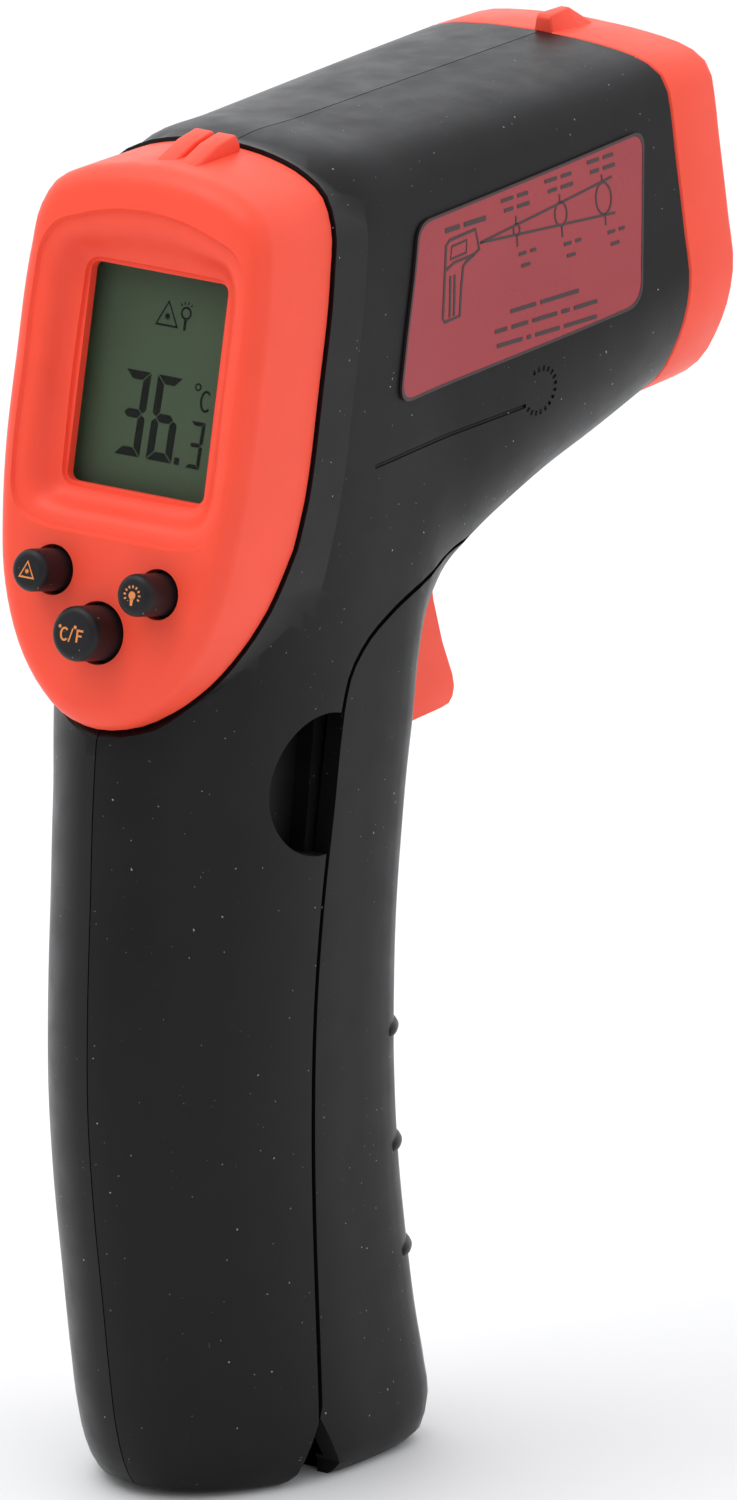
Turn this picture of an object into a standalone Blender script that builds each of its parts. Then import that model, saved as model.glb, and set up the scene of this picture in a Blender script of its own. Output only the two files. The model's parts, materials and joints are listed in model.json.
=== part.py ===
"""Pistol-shaped infrared thermometer, built as the separate pieces it comes apart into.

World frame in metres: +X is the right side, +Y is the way the nose points, +Z is up,
and the origin lies on the ground under the middle of the object.
Outlines are written in millimetres. Side outlines are (y, z) pairs with y measured from
the datum line of the handle, and CENTRE_Y moves the middle of the overall length onto Y = 0.
"""
import math

import bpy
import bmesh
import numpy as np
from mathutils import Matrix, Vector
from mathutils.bvhtree import BVHTree

# ---------------------------------------------------------------- driving dimensions (mm)
MM = 0.001
CENTRE_Y = 1.22
LIFT = 1.8
GAP = 0.3
WALL = 2.2
FAR = 90.0

# The body is a loft on a bent spine. Each station is a flat section: its outer end (y, z),
# its inner end (y, z), its half width, and its form (0 nose, 1 elbow, 2 handle).
STATIONS = [
    (38.9, 151.2, 38.9, 108.2, 20.6, 0.0),
    (28.0, 151.2, 30.0, 105.6, 20.2, 0.1),
    (16.0, 151.2, 21.2, 103.4, 19.5, 0.3),
    (4.0, 151.2, 14.4, 101.2, 18.6, 0.55),
    (-8.0, 151.2, 9.4, 99.3, 17.7, 0.8),
    (-19.0, 151.2, 5.9, 97.6, 17.0, 1.0),
    (-28.0, 148.5, 3.2, 96.0, 16.8, 1.05),
    (-34.0, 140.0, 1.1, 94.0, 16.7, 1.15),
    (-38.0, 128.0, -0.7, 91.3, 16.6, 1.3),
    (-40.5, 115.0, -1.9, 87.5, 16.5, 1.5),
    (-43.0, 102.0, -2.7, 82.0, 16.3, 1.75),
    (-45.7, 91.0, -3.6, 75.5, 16.0, 1.9),
    (-46.8, 81.0, -4.4, 68.8, 15.8, 2.0),
    (-47.4, 69.0, -5.2, 61.0, 15.7, 2.0),
    (-48.0, 56.0, -5.6, 52.0, 15.7, 2.0),
    (-48.0, 45.5, -5.6, 44.0, 15.7, 2.0),
    (-47.1, 35.0, -5.0, 34.5, 15.7, 2.0),
    (-45.3, 22.5, -3.3, 23.0, 15.7, 2.0),
    (-43.9, 13.0, -1.4, 13.5, 15.7, 2.0),
    (-42.8, 7.0, 0.2, 7.5, 15.7, 2.0),
    (-41.2, 2.3, 1.0, 3.0, 15.6, 2.0),
    (-39.3, -0.5, 0.0, -0.3, 15.0, 2.0),
    (-35.8, -1.8, -3.0, -1.8, 13.4, 2.0),
]
# Half outline of each form: (share of the way from the outer to the inner end, share of half width).
NOSE_FORM = [(0.0, 0.0), (0.01, 0.42), (0.028, 0.66), (0.052, 0.78), (0.088, 0.838), (0.14, 0.865),
             (0.258, 0.9), (0.47, 0.964), (0.61, 1.0), (0.69, 0.975), (0.786, 0.903), (0.886, 0.775),
             (0.955, 0.56), (0.99, 0.28), (1.0, 0.0)]
ELBOW_FORM = [(0.0, 0.0), (0.006, 0.4), (0.02, 0.64), (0.045, 0.8), (0.08, 0.885), (0.13, 0.93),
              (0.22, 0.962), (0.4, 0.985), (0.65, 1.0), (0.85, 0.96), (0.93, 0.83), (0.98, 0.5),
              (1.0, 0.0)]
HANDLE_FORM = [(0.0, 0.0), (0.006, 0.14), (0.03, 0.3), (0.08, 0.486), (0.16, 0.663), (0.27, 0.82),
               (0.4, 0.928), (0.53, 0.986), (0.66, 1.0), (0.79, 0.998), (0.87, 0.965), (0.92, 0.897),
               (0.955, 0.8), (0.982, 0.66), (0.996, 0.48), (1.0, 0.3), (1.0, 0.0)]
SECTION_SCALE = np.array((43.0, 20.0))
SECTIONS = 29
CAVITY_SECTIONS = 20
HALF_POINTS = 13

# The display face leans back. Face coordinates are (x, v, n): v up the face, n out of it.
FACE_LEAN = math.radians(11.8)
FACE_OUT = 65.43
BEZEL_OUTLINE = [(0.0, 143.7), (6.5, 143.0), (11.0, 141.7), (14.1, 139.8), (15.8, 136.6), (16.5, 131.0),
                 (16.8, 118.0), (16.75, 107.0), (16.2, 100.4), (15.0, 93.2), (13.4, 88.6), (10.8, 84.0),
                 (8.0, 80.9), (4.9, 78.7), (2.1, 77.8), (0.0, 77.6)]
# Depth behind the face where the bezel meets the housing, against v.
BEZEL_DEPTH = [(150.0, 13.35), (106.0, 13.35), (100.4, 13.0), (93.2, 11.0), (89.7, 9.8), (84.5, 7.8),
               (81.0, 6.0), (78.7, 4.3), (77.3, 2.6), (75.0, 1.6)]
COLLAR_DEPTH = 19.4
FALL_FROM = 118.0
COLLAR_STEP = 0.35
FACE_ROUND = 2.5
BEZEL_WALL = 2.2
SCREEN_V = 116.8
SCREEN_OPENING = (18.8, 24.7)
SCREEN_WALL_DEPTH = 5.05
# The sunk panel round the screen: its arched edge, then its steps inwards as (blend from the
# edge to the screen opening, growth of the blended outline, depth).
PANEL_EDGE = [(0.0, 136.1), (4.5, 135.7), (9.4, 134.4), (12.4, 133.1), (14.0, 130.6), (14.4, 126.5),
              (14.5, 116.0), (14.4, 105.5), (14.0, 102.4), (12.5, 100.3), (9.6, 99.4), (4.0, 99.2),
              (0.0, 99.2)]
PANEL_STEPS = [(0.0, 0.0, -1.0), (0.0, 0.0, -0.06), (0.0, -0.4, 0.5), (0.0, -1.5, 0.62), (0.42, -0.5, 1.6),
               (1.0, 1.05, 3.3), (1.0, 0.6, 3.9)]
PANEL_POINTS = 72
BUTTON_RISE = 4.8
SMALL_BUTTON = 2.4
UNIT_BUTTON = 3.1
BUTTONS = {"laser": (-7.1, 94.7, SMALL_BUTTON), "backlight": (7.4, 94.2, SMALL_BUTTON),
           "unit": (0.0, 88.7, UNIT_BUTTON)}
BUTTON_EDGE = 0.8
BUTTON_FLANGE = (1.1, -2.7, -3.6)
BUTTON_STEM = (1.4, -6.2)
BUTTON_CLEARANCE = 0.45
SWITCH_TOP_DEPTH = 7.0
SWITCH_BODY_DEPTH = 8.2
SWITCH_SIZE = 6.0
PLUNGER_RADIUS = 1.7
# Flat layers behind the face: (width, height, corner, shift of the middle up the face, low n, high n).
LAYERS = {"display_window": (20.8, 26.8, 1.0, 0.0, -6.3, -5.35),
          "lcd_panel": (23.0, 29.0, 0.0, 0.0, -8.5, -6.6),
          "backlight_panel": (22.4, 25.6, 0.0, -1.4, -10.6, -8.8),
          "zebra_connector": (22.0, 1.8, 0.0, 13.3, -10.9, -8.8),
          "lcd_frame": (26.4, 32.4, 1.0, 0.0, -10.9, -6.6)}
FRAME_HOLE = (23.6, 29.6)
CHIP = (-3.0, 118.0, 9.0, 9.0)
CHIP_DEPTH = 14.3
BUZZER_SPOT = (6.0, 104.0)
BUZZER_PROFILE = [(0.0, -12.7), (4.6, -12.7), (4.6, -16.6), (1.0, -16.6), (1.0, -16.1), (0.0, -16.1)]
BOARD_HOLES = [(-10.5, 136.8), (10.5, 136.8)]
BOARD_DEPTH = 11.2
BOARD_THICK = 1.2

# Battery door: the seam on the side of the handle, from its top tip down to the hinge notch.
DOOR_SEAM = [(5.9, 102.3), (0.3, 101.7), (-4.0, 100.6), (-8.8, 99.5), (-13.3, 97.9), (-17.8, 95.4),
             (-20.5, 92.4), (-21.6, 89.3), (-22.3, 85.3), (-23.3, 77.3), (-25.0, 66.0), (-26.2, 55.0),
             (-26.6, 40.0), (-26.3, 31.0), (-25.6, 20.5), (-24.4, 5.5)]
DOOR_GAP = 0.6
HINGE = (-20.0, 2.7)
KNUCKLE_RADIUS = 2.6
HINGE_PIN_RADIUS = 1.0
KNUCKLE_HALF = 8.0
NOTCH = (-24.5, 80.3, 8.2)
NOTCH_FLOOR = 11.0
NOTCH_WALL = 1.2
NOTCH_REACH = 15.2
NOTCH_END_REACH = (71.0, 89.5)
NOTCH_END_HALF = 13.1
RIB_HEIGHTS = (48.2, 34.6, 21.8)

# Trigger, its pivot in the barrel above the door.
TRIGGER_PIVOT = (2.0, 105.5)
TRIGGER_OUTLINE = [(5.3, 106.4), (5.6, 103.6), (7.4, 100.4), (8.3, 97.0), (9.2, 92.4), (10.9, 87.2),
                   (12.9, 82.8), (13.2, 81.4), (12.9, 80.3), (12.1, 79.6), (10.6, 79.4), (0.5, 79.0),
                   (-1.1, 79.7), (-1.4, 84.0), (-1.4, 92.0), (-1.2, 100.0), (-1.5, 104.5),
                   (-0.6, 107.8), (2.0, 108.9), (4.4, 108.0)]
TRIGGER_HALF = 6.5
TRIGGER_SLOT_HALF = 7.2
TRIGGER_PIN_RADIUS = 1.2
TRIGGER_PIN_HALF = 10.6
TRIGGER_EDGE = 0.9
TRIGGER_BOARD = (-9.0, 9.0, -13.4, -12.2, 77.5, 96.0)
TRIGGER_SWITCH = (-3.0, 3.0, -11.9, -6.6, 86.5, 92.5)
TRIGGER_PLUNGER = ((0.0, -8.0, 89.5), (0.0, -3.7, 89.5))
TRIGGER_SPRING_FOOT = (0.0, -11.7, 81.8)
TRIGGER_SPRING_LENGTH = 9.9

# Nose and optics.
NOSE_SEAM_Y = 38.9
NOSE_FRONT_Y = 48.7
OPTIC_Z = 127.5
LASER_Z = 143.4
BARREL_OUTER = 8.6
BARREL_INNER = 7.2
LENS_Y = 37.0
LENS_RADIUS = 6.85
BARREL_FRONT = 44.5
BARREL_REAR = 21.0
SENSOR_BORE = 5.2
SENSOR_PROFILE = [(0.0, 23.6), (1.6, 23.6), (1.6, 23.9), (3.9, 23.9), (4.1, 23.6), (4.1, 21.2), (4.7, 21.2),
                  (4.7, 20.5), (0.0, 20.5)]
LASER_RADIUS = 3.0
LASER_PROFILE = [(0.0, 41.0), (0.9, 41.0), (0.9, 44.3), (LASER_RADIUS, 44.3), (LASER_RADIUS, 33.5),
                 (2.4, 33.5), (2.4, 31.5), (0.0, 31.5)]

# Two AAA cells stand side by side in a tray.
CELL_RADIUS = 5.25
CELL_LENGTH = 43.0
CELL_X = 5.55
CELL_Y = -19.4
CELL_LOW_Z = 21.6
TRAY = (-11.9, 11.9, -26.8, -14.2, 14.6, 70.4)
TRAY_END = 1.4
CELL_NIPPLE = 0.9
CONTACT_THICK = 0.4
WIRE_RADIUS = 0.6
BATTERY_LEAD = [(6.0, -28.0, 67.5), (6.0, -30.5, 72.0), (5.0, -31.5, 83.0), (5.5, -30.5, 92.0),
                (6.0, -31.2, 96.8)]
LASER_LEAD = [(0.0, 27.0, 141.6), (0.0, 16.0, 139.6), (0.0, 2.0, 139.4), (0.0, -12.0, 139.0),
              (0.0, -22.6, 137.0)]
SENSOR_CABLE = (-4.5, 4.5, -20.0, 18.4, 118.2, 118.8)

# Self-tapping screws (y, z), put in from the left side.
SCREWS = [(20.0, 143.8), (27.0, 113.6), (-12.0, 143.8), (-12.0, 110.0), (-34.0, 58.0), (-33.5, 13.5)]
BOSS_RADIUS = 2.7
POST_COVER = 0.8
SCREW_SEAT = 8.5
SCREW_RADIUS = 1.05
SCREW_HEAD = 2.0

# Side labels: corners in (y, z) with their radii.
LABEL_CORNERS = [((-8.5, 143.1), 2.2), ((32.1, 143.4), 2.2), ((29.7, 124.1), 2.6), ((-12.7, 122.8), 2.6)]
LABEL_THICK = 0.25

CORAL = ("coral_plastic", (0.90, 0.11, 0.065), 0.42, 0.0)
BLACK = ("black_plastic", (0.018, 0.018, 0.021), 0.5, 0.0)
BUTTON_BLACK = ("button_black", (0.012, 0.012, 0.013), 0.45, 0.0)
LABEL_RED = ("label_film", (0.60, 0.13, 0.14), 0.3, 0.0)
CLEAR = ("clear_window", (0.75, 0.8, 0.78), 0.08, 0.0)
LCD = ("lcd_glass", (0.16, 0.21, 0.15), 0.25, 0.0)
WHITE = ("white_plastic", (0.7, 0.7, 0.68), 0.5, 0.0)
BOARD = ("circuit_board", (0.02, 0.14, 0.05), 0.45, 0.0)
STEEL = ("plated_steel", (0.62, 0.62, 0.63), 0.3, 1.0)
BRASS = ("brass", (0.72, 0.52, 0.2), 0.3, 1.0)
RUBBER = ("conductive_rubber", (0.03, 0.03, 0.03), 0.8, 0.0)
LENS = ("infrared_lens", (0.5, 0.5, 0.46), 0.3, 0.0)
CELL = ("cell_jacket", (0.12, 0.25, 0.34), 0.35, 0.0)
WIRE_RED = ("red_wire", (0.55, 0.02, 0.02), 0.5, 0.0)
WIRE_BLACK = ("black_wire", (0.02, 0.02, 0.02), 0.5, 0.0)


# ---------------------------------------------------------------- scene helpers
def clear_scene():
    for obj in list(bpy.data.objects):
        bpy.data.objects.remove(obj, do_unlink=True)


def new_collection(name):
    collection = bpy.data.collections.new(name)
    bpy.context.scene.collection.children.link(collection)
    return collection


def make_material(spec):
    name, colour, roughness, metallic = spec
    material = bpy.data.materials.get(name)
    if material is None:
        material = bpy.data.materials.new(name)
        material.use_nodes = True
        shader = material.node_tree.nodes["Principled BSDF"]
        shader.inputs["Base Color"].default_value = (*colour, 1.0)
        shader.inputs["Roughness"].default_value = roughness
        shader.inputs["Metallic"].default_value = metallic
    return material


def add_object(name, mesh, spec):
    """Link a mesh as a named part, or as a cutter when it has no material."""
    obj = bpy.data.objects.new(name, mesh)
    if spec is None:
        CUTTERS.objects.link(obj)
        obj.hide_render = True
        obj.display_type = "WIRE"
    else:
        PARTS.objects.link(obj)
        mesh.materials.clear()
        mesh.materials.append(make_material(spec))
    return obj


def world(x, y, z):
    """Turn datum millimetres into world metres."""
    return Vector((x, y + CENTRE_Y, z + LIFT)) * MM


def place(x, y, z, direction=(0, 0, 1)):
    """Matrix that puts local Z along a direction at a datum point."""
    turn = Vector(direction).to_track_quat("Z", "Y").to_matrix().to_4x4()
    return Matrix.Translation(world(x, y, z)) @ turn


def side_frame():
    """Matrix whose local (x, y, z) are datum y, datum z and world X."""
    axes = Matrix(((0, 0, 1, 0), (1, 0, 0, 0), (0, 1, 0, 0), (0, 0, 0, 1)))
    return Matrix.Translation(world(0, 0, 0)) @ axes


def face_frame():
    """Matrix whose local (x, y, z) are the face coordinates (x, v, n)."""
    lean_sin = math.sin(FACE_LEAN)
    lean_cos = math.cos(FACE_LEAN)
    axes = Matrix(((1, 0, 0, 0), (0, lean_sin, -lean_cos, 0), (0, lean_cos, lean_sin, 0), (0, 0, 0, 1)))
    start = axes @ Vector((0, 0, FACE_OUT * MM))
    return Matrix.Translation(start + world(0, 0, 0)) @ axes


def cut(target, *cutters):
    for cutter in cutters:
        modifier = target.modifiers.new("cut", "BOOLEAN")
        modifier.operation = "DIFFERENCE"
        modifier.object = cutter


def keep_inside(target, other):
    """Leave only the part of an object that lies inside another."""
    modifier = target.modifiers.new("inside", "BOOLEAN")
    modifier.operation = "INTERSECT"
    modifier.object = other


def join(target, *others):
    for other in others:
        modifier = target.modifiers.new("join", "BOOLEAN")
        modifier.operation = "UNION"
        modifier.object = other


def shade(obj, angle=35.0):
    obj.data.shade_smooth()
    obj.data.set_sharp_from_angle(angle=math.radians(angle))


# ---------------------------------------------------------------- shape helpers
def smooth(points, count):
    """Return count points on a smooth curve through the given points."""
    knots = np.array(points, dtype=float)
    at = np.concatenate(([0.0], np.cumsum(np.linalg.norm(np.diff(knots, axis=0), axis=1))))
    slopes = np.gradient(knots, at, axis=0)
    where = np.linspace(0.0, at[-1], count)
    cell = np.clip(np.searchsorted(at, where) - 1, 0, len(at) - 2)
    width = (at[cell + 1] - at[cell])[:, None]
    t = (where - at[cell])[:, None] / width
    start = knots[cell] * (1 + 2 * t) * (1 - t) ** 2 + slopes[cell] * width * t * (1 - t) ** 2
    end = knots[cell + 1] * t * t * (3 - 2 * t) - slopes[cell + 1] * width * t * t * (1 - t)
    return start + end


def inset(outline, distance):
    """Move a closed clockwise-in-(down, across) outline inwards."""
    along = np.roll(outline, -1, axis=0) - np.roll(outline, 1, axis=0)
    along /= np.linalg.norm(along, axis=1)[:, None]
    return outline + distance * np.column_stack((along[:, 1], -along[:, 0]))


def section(station, shrink):
    """Closed ring of points for one station of the body, in datum millimetres."""
    outer = np.array(station[0:2])
    span = np.array(station[2:4]) - outer
    length = np.linalg.norm(span)
    forms = [smooth(np.array(form) * SECTION_SCALE, HALF_POINTS + 1) / SECTION_SCALE
             for form in (NOSE_FORM, ELBOW_FORM, HANDLE_FORM)]
    lower = min(max(int(station[5]), 0), 1)
    share = min(station[5] - lower, 1.0)
    half = forms[lower] * (1.0 - share) + forms[lower + 1] * share
    half = half * np.array((length, station[4]))
    ring = np.concatenate((half, half[-2:0:-1] * np.array((1.0, -1.0))))
    ring = inset(ring, shrink)
    side = outer + ring[:, :1] * span / length
    return np.column_stack((ring[:, 1], side))


def loft(name, rings, spec, frame=None):
    """Closed solid through rings of equal length, in datum millimetres or in a frame's own."""
    shape = bmesh.new()
    if frame is None:
        rows = [[shape.verts.new(world(*point)) for point in ring] for ring in rings]
    else:
        rows = [[shape.verts.new(Vector(point) * MM) for point in ring] for ring in rings]
    for low, high in zip(rows, rows[1:]):
        for i in range(len(low)):
            j = (i + 1) % len(low)
            shape.faces.new((low[i], low[j], high[j], high[i]))
    shape.faces.new(rows[0])
    shape.faces.new(rows[-1])
    bmesh.ops.recalc_face_normals(shape, faces=shape.faces)
    mesh = bpy.data.meshes.new(name)
    shape.to_mesh(mesh)
    shape.free()
    obj = add_object(name, mesh, spec)
    if frame is not None:
        obj.matrix_world = frame
    return obj


def slab(name, outline, low, high, frame, spec):
    """Flat outline extruded from low to high along the frame's local Z, in millimetres."""
    curve = bpy.data.curves.new(name, "CURVE")
    curve.dimensions = "2D"
    curve.fill_mode = "BOTH"
    curve.extrude = (high - low) * MM / 2
    spline = curve.splines.new("POLY")
    spline.points.add(len(outline) - 1)
    for point, (x, y) in zip(spline.points, outline):
        point.co = (x * MM, y * MM, 0.0, 1.0)
    spline.use_cyclic_u = True
    source = bpy.data.objects.new(name + "_outline", curve)
    bpy.context.scene.collection.objects.link(source)
    mesh = bpy.data.meshes.new_from_object(source.evaluated_get(bpy.context.evaluated_depsgraph_get()))
    bpy.data.objects.remove(source)
    shape = bmesh.new()
    shape.from_mesh(mesh)
    bmesh.ops.remove_doubles(shape, verts=shape.verts, dist=1e-6)
    bmesh.ops.translate(shape, verts=shape.verts, vec=(0, 0, (low + high) * MM / 2))
    bmesh.ops.recalc_face_normals(shape, faces=shape.faces)
    shape.to_mesh(mesh)
    shape.free()
    mesh.name = name
    obj = add_object(name, mesh, spec)
    obj.matrix_world = frame
    return obj


def rectangle(x, y, width, height, corner=0.0):
    """Rectangle about a point, with rounded corners where a corner radius is given."""
    if corner == 0.0:
        return [(x + a * width / 2, y + b * height / 2) for a, b in ((-1, -1), (1, -1), (1, 1), (-1, 1))]
    points = []
    for a, b, start in ((1, 1, 0), (-1, 1, 90), (-1, -1, 180), (1, -1, 270)):
        for step in range(4):
            angle = math.radians(start + step * 30)
            points.append((x + a * (width / 2 - corner) + corner * math.cos(angle),
                           y + b * (height / 2 - corner) + corner * math.sin(angle)))
    return points


def block(name, limits, spec):
    """Box from its limits (x0, x1, y0, y1, z0, z1) in datum millimetres."""
    x0, x1, y0, y1, z0, z1 = limits
    middle = Matrix.Translation(world((x0 + x1) / 2, (y0 + y1) / 2, (z0 + z1) / 2))
    size = Matrix.Diagonal(((x1 - x0) * MM, (y1 - y0) * MM, (z1 - z0) * MM, 1.0))
    shape = bmesh.new()
    bmesh.ops.create_cube(shape, size=1.0, matrix=middle @ size)
    mesh = bpy.data.meshes.new(name)
    shape.to_mesh(mesh)
    shape.free()
    return add_object(name, mesh, spec)


def rods(name, ends, radius, spec, segments=16):
    """One or more straight rods between pairs of datum points, as one mesh."""
    shape = bmesh.new()
    for start, finish in ends:
        line = world(*finish) - world(*start)
        frame = place(*[(a + b) / 2 for a, b in zip(start, finish)], direction=line)
        bmesh.ops.create_cone(shape, cap_ends=True, segments=segments,
                              radius1=radius * MM, radius2=radius * MM,
                              depth=line.length, matrix=frame)
    mesh = bpy.data.meshes.new(name)
    shape.to_mesh(mesh)
    shape.free()
    return add_object(name, mesh, spec)


def turned(name, profile, frame, spec, steps=20):
    """Turned piece. The profile of (radius, height) runs from the top down the outer side."""
    closed = profile[0][0] > 0.0
    mesh = bpy.data.meshes.new(name)
    points = [(radius * MM, 0.0, height * MM) for radius, height in profile]
    edges = [(i, i + 1) for i in range(len(points) - 1)]
    if closed:
        edges.append((len(points) - 1, 0))
    mesh.from_pydata(points, edges, [])
    obj = add_object(name, mesh, spec)
    obj.matrix_world = frame
    screw = obj.modifiers.new("turn", "SCREW")
    screw.axis = "Z"
    screw.steps = steps
    screw.render_steps = steps
    screw.use_merge_vertices = True
    screw.merge_threshold = 0.00001
    return obj


def wire(name, points, radius, spec, count=None):
    """Round wire along datum points, as a curve with a bevel."""
    path = points if count is None else smooth(points, count)
    curve = bpy.data.curves.new(name, "CURVE")
    curve.dimensions = "3D"
    curve.bevel_depth = radius * MM
    curve.bevel_resolution = 2
    curve.use_fill_caps = True
    spline = curve.splines.new("POLY")
    spline.points.add(len(path) - 1)
    for point, place_mm in zip(spline.points, path):
        point.co = (*world(*place_mm), 1.0)
    obj = bpy.data.objects.new(name, curve)
    PARTS.objects.link(obj)
    curve.materials.append(make_material(spec))
    return obj


def helix(centre, axis, radius, turns, length, per_turn=7):
    """Points of a coil spring about an axis, starting at a datum point, with closed ends."""
    along = Vector(axis).normalized()
    side = along.orthogonal().normalized()
    across = along.cross(side)
    points = []
    for step in range(int(turns * per_turn) + 1):
        share = step / (turns * per_turn)
        angle = 2 * math.pi * step / per_turn
        spot = Vector(centre) + along * length * share
        points.append(spot + radius * (side * math.cos(angle) + across * math.sin(angle)))
    return points


# ---------------------------------------------------------------- body surfaces
def body_rings(shrink, count):
    """Rings of the body skin, or of the cavity a wall's thickness inside it."""
    rings = [section(station, shrink) for station in smooth(STATIONS, count)]
    floor = STATIONS[-1][1] + shrink
    inside = [ring for ring in rings if ring[:, 2].min() >= floor]
    if len(inside) < len(rings):
        last = inside[-1].copy()
        last[:, 2] = floor
        inside.append(last)
    return inside


def outer_mesh():
    """Outer skin of the whole handle and barrel, cut up later into halves and door."""
    return loft("body_skin", body_rings(0.0, SECTIONS), None)


def bezel_outline(grow):
    """Closed outline of the display bezel in (x, v), grown or shrunk."""
    half = smooth(BEZEL_OUTLINE, 19)
    ring = np.concatenate((half, half[-2:0:-1] * np.array((-1.0, 1.0))))
    along = np.roll(ring, -1, axis=0) - np.roll(ring, 1, axis=0)
    along /= np.linalg.norm(along, axis=1)[:, None]
    return ring + grow * np.column_stack((-along[:, 1], along[:, 0]))


def bezel_zone(name, shift):
    """Cutter for everything behind the seam between housing and bezel."""
    seam = [(v, shift - depth) for v, depth in BEZEL_DEPTH]
    outline = seam + [(75.0, FAR), (170.0, FAR), (170.0, shift - BEZEL_DEPTH[0][1])]
    frame = face_frame() @ Matrix(((0, 0, 1, 0), (1, 0, 0, 0), (0, 1, 0, 0), (0, 0, 0, 1)))
    return slab(name, outline, -FAR, FAR, frame, None)


def bezel_front_zone(name, shift):
    """Cutter for everything in front of that seam."""
    seam = [(v, shift - depth) for v, depth in BEZEL_DEPTH]
    outline = seam + [(70.0, 0.0), (70.0, -FAR), (170.0, -FAR), (170.0, shift - BEZEL_DEPTH[0][1])]
    frame = face_frame() @ Matrix(((0, 0, 1, 0), (1, 0, 0, 0), (0, 1, 0, 0), (0, 0, 0, 1)))
    return slab(name, outline, -FAR, FAR, frame, None)


def door_zone(name):
    """Cutter for the space of the battery door and its gap, hinge notch included."""
    outline = DOOR_SEAM + [(-28.0, -5.0), (30.0, -5.0), (14.0, 60.0), (8.6, 95.0), (7.4, 99.0)]
    return slab(name, outline, -FAR, FAR, side_frame(), None)


def housing_zone(name):
    """Cutter for everything that isn't battery door."""
    seam = smooth(DOOR_SEAM, 3 * len(DOOR_SEAM))
    along = np.gradient(seam, axis=0)
    along /= np.linalg.norm(along, axis=1)[:, None]
    edge = seam + DOOR_GAP * np.column_stack((-along[:, 1], along[:, 0]))
    outline = [tuple(point) for point in edge[1:-1]]
    outline += [(-24.2, 6.0), (-20.3, -0.2), (-20.3, -5.0), (-FAR, -5.0), (-FAR, 170.0), (80.0, 170.0),
                (80.0, 99.0), (7.1, 99.0)]
    outline.append((5.6, 101.9))
    return slab(name, outline, -FAR, FAR, side_frame(), None)


def surface_probe(obj):
    """Function that gives the body's half width at a datum (y, z)."""
    tree = BVHTree.FromObject(obj, bpy.context.evaluated_depsgraph_get())

    def half_width(y, z):
        hit = tree.ray_cast(world(60.0, y, z), Vector((-1, 0, 0)))
        return hit[0].x / MM
    return half_width


# ---------------------------------------------------------------- housing
def build_housing(skin, half_width):
    collar = slab("collar", bezel_outline(COLLAR_STEP), -COLLAR_DEPTH, -1.0, face_frame(), None)
    cavity = loft("cavity", body_rings(WALL, CAVITY_SECTIONS), None)
    mouth = loft("mouth", nose_rings([(20.0, 2.6), (60.0, 2.6)]), None)
    bay = slab("bezel_bay", bezel_outline(-2.4), -COLLAR_DEPTH - 4.0, 20.0, face_frame(), None)
    zone = bezel_zone("bezel_zone", 0.0)
    door = door_zone("door_zone")
    slot = block("trigger_slot", (-TRIGGER_SLOT_HALF, TRIGGER_SLOT_HALF, -10.0, 11.4, 80.0, 103.5), None)
    y, z, radius = NOTCH
    ends = [((-FAR, y, z), (-NOTCH_FLOOR, y, z)), ((NOTCH_FLOOR, y, z), (FAR, y, z))]
    limit = loft("post_limit", body_rings(POST_COVER, CAVITY_SECTIONS), None)
    notches = rods("thumb_notches", ends,
                   radius, None, 28)
    for side, name in ((1, "housing_right"), (-1, "housing_left")):
        half = add_object(name, skin.data.copy(), BLACK)
        away = block(name + "_away", sorted((-side * FAR, side * GAP / 2)) + [-FAR, FAR, -FAR, 2 * FAR], None)
        join(half, collar)
        cut(half, away, zone, cavity, mouth, bay)
        join(half, *side_posts(side, half_width, limit))
        cut(half, door, slot, notches)
        join(half, notch_end(side))
        cut(half, *side_holes(side))
        shade(half)


def side_posts(side, half_width, limit):
    """Screw posts, thumb notch cup, trigger pin post and hinge lug of one half."""
    posts = [rods(f"screw_posts_{side}",
                  [((side * GAP / 2, y, z), (side * post_reach(y, z, half_width), y, z)) for y, z in SCREWS],
                  BOSS_RADIUS, None)]
    y, z, radius = NOTCH
    inner = side * (NOTCH_FLOOR - NOTCH_WALL)
    ends = [((inner, y, z), (side * NOTCH_REACH, y, z))]
    cup = rods(f"notch_cup_{side}", ends, radius + NOTCH_WALL, None, 28)
    keep_inside(cup, limit)
    posts.append(cup)
    y, z = TRIGGER_PIVOT
    reach = side * post_reach(y, z, half_width)
    posts.append(rods(f"pin_post_{side}", [((side * 7.0, y, z), (reach, y, z))], 2.8, None))
    y, z = HINGE
    tip = [(y + KNUCKLE_RADIUS * math.cos(math.radians(a)), z + KNUCKLE_RADIUS * math.sin(math.radians(a)))
           for a in range(-90, 91, 30)]
    lug = tip + [(y - 10.5, z + KNUCKLE_RADIUS), (y - 10.5, -0.2), (y - 7.4, -0.2)]
    posts.append(slab(f"hinge_lug_{side}", lug, min(side * 8.5, side * 11.0), max(side * 8.5, side * 11.0),
                      side_frame(), None))
    return posts


def post_reach(y, z, half_width):
    """How far out a screw post may run before it would show through the skin."""
    return min(half_width(a, b) for a, b in circle(y, z, BOSS_RADIUS, 12)) - POST_COVER


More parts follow.
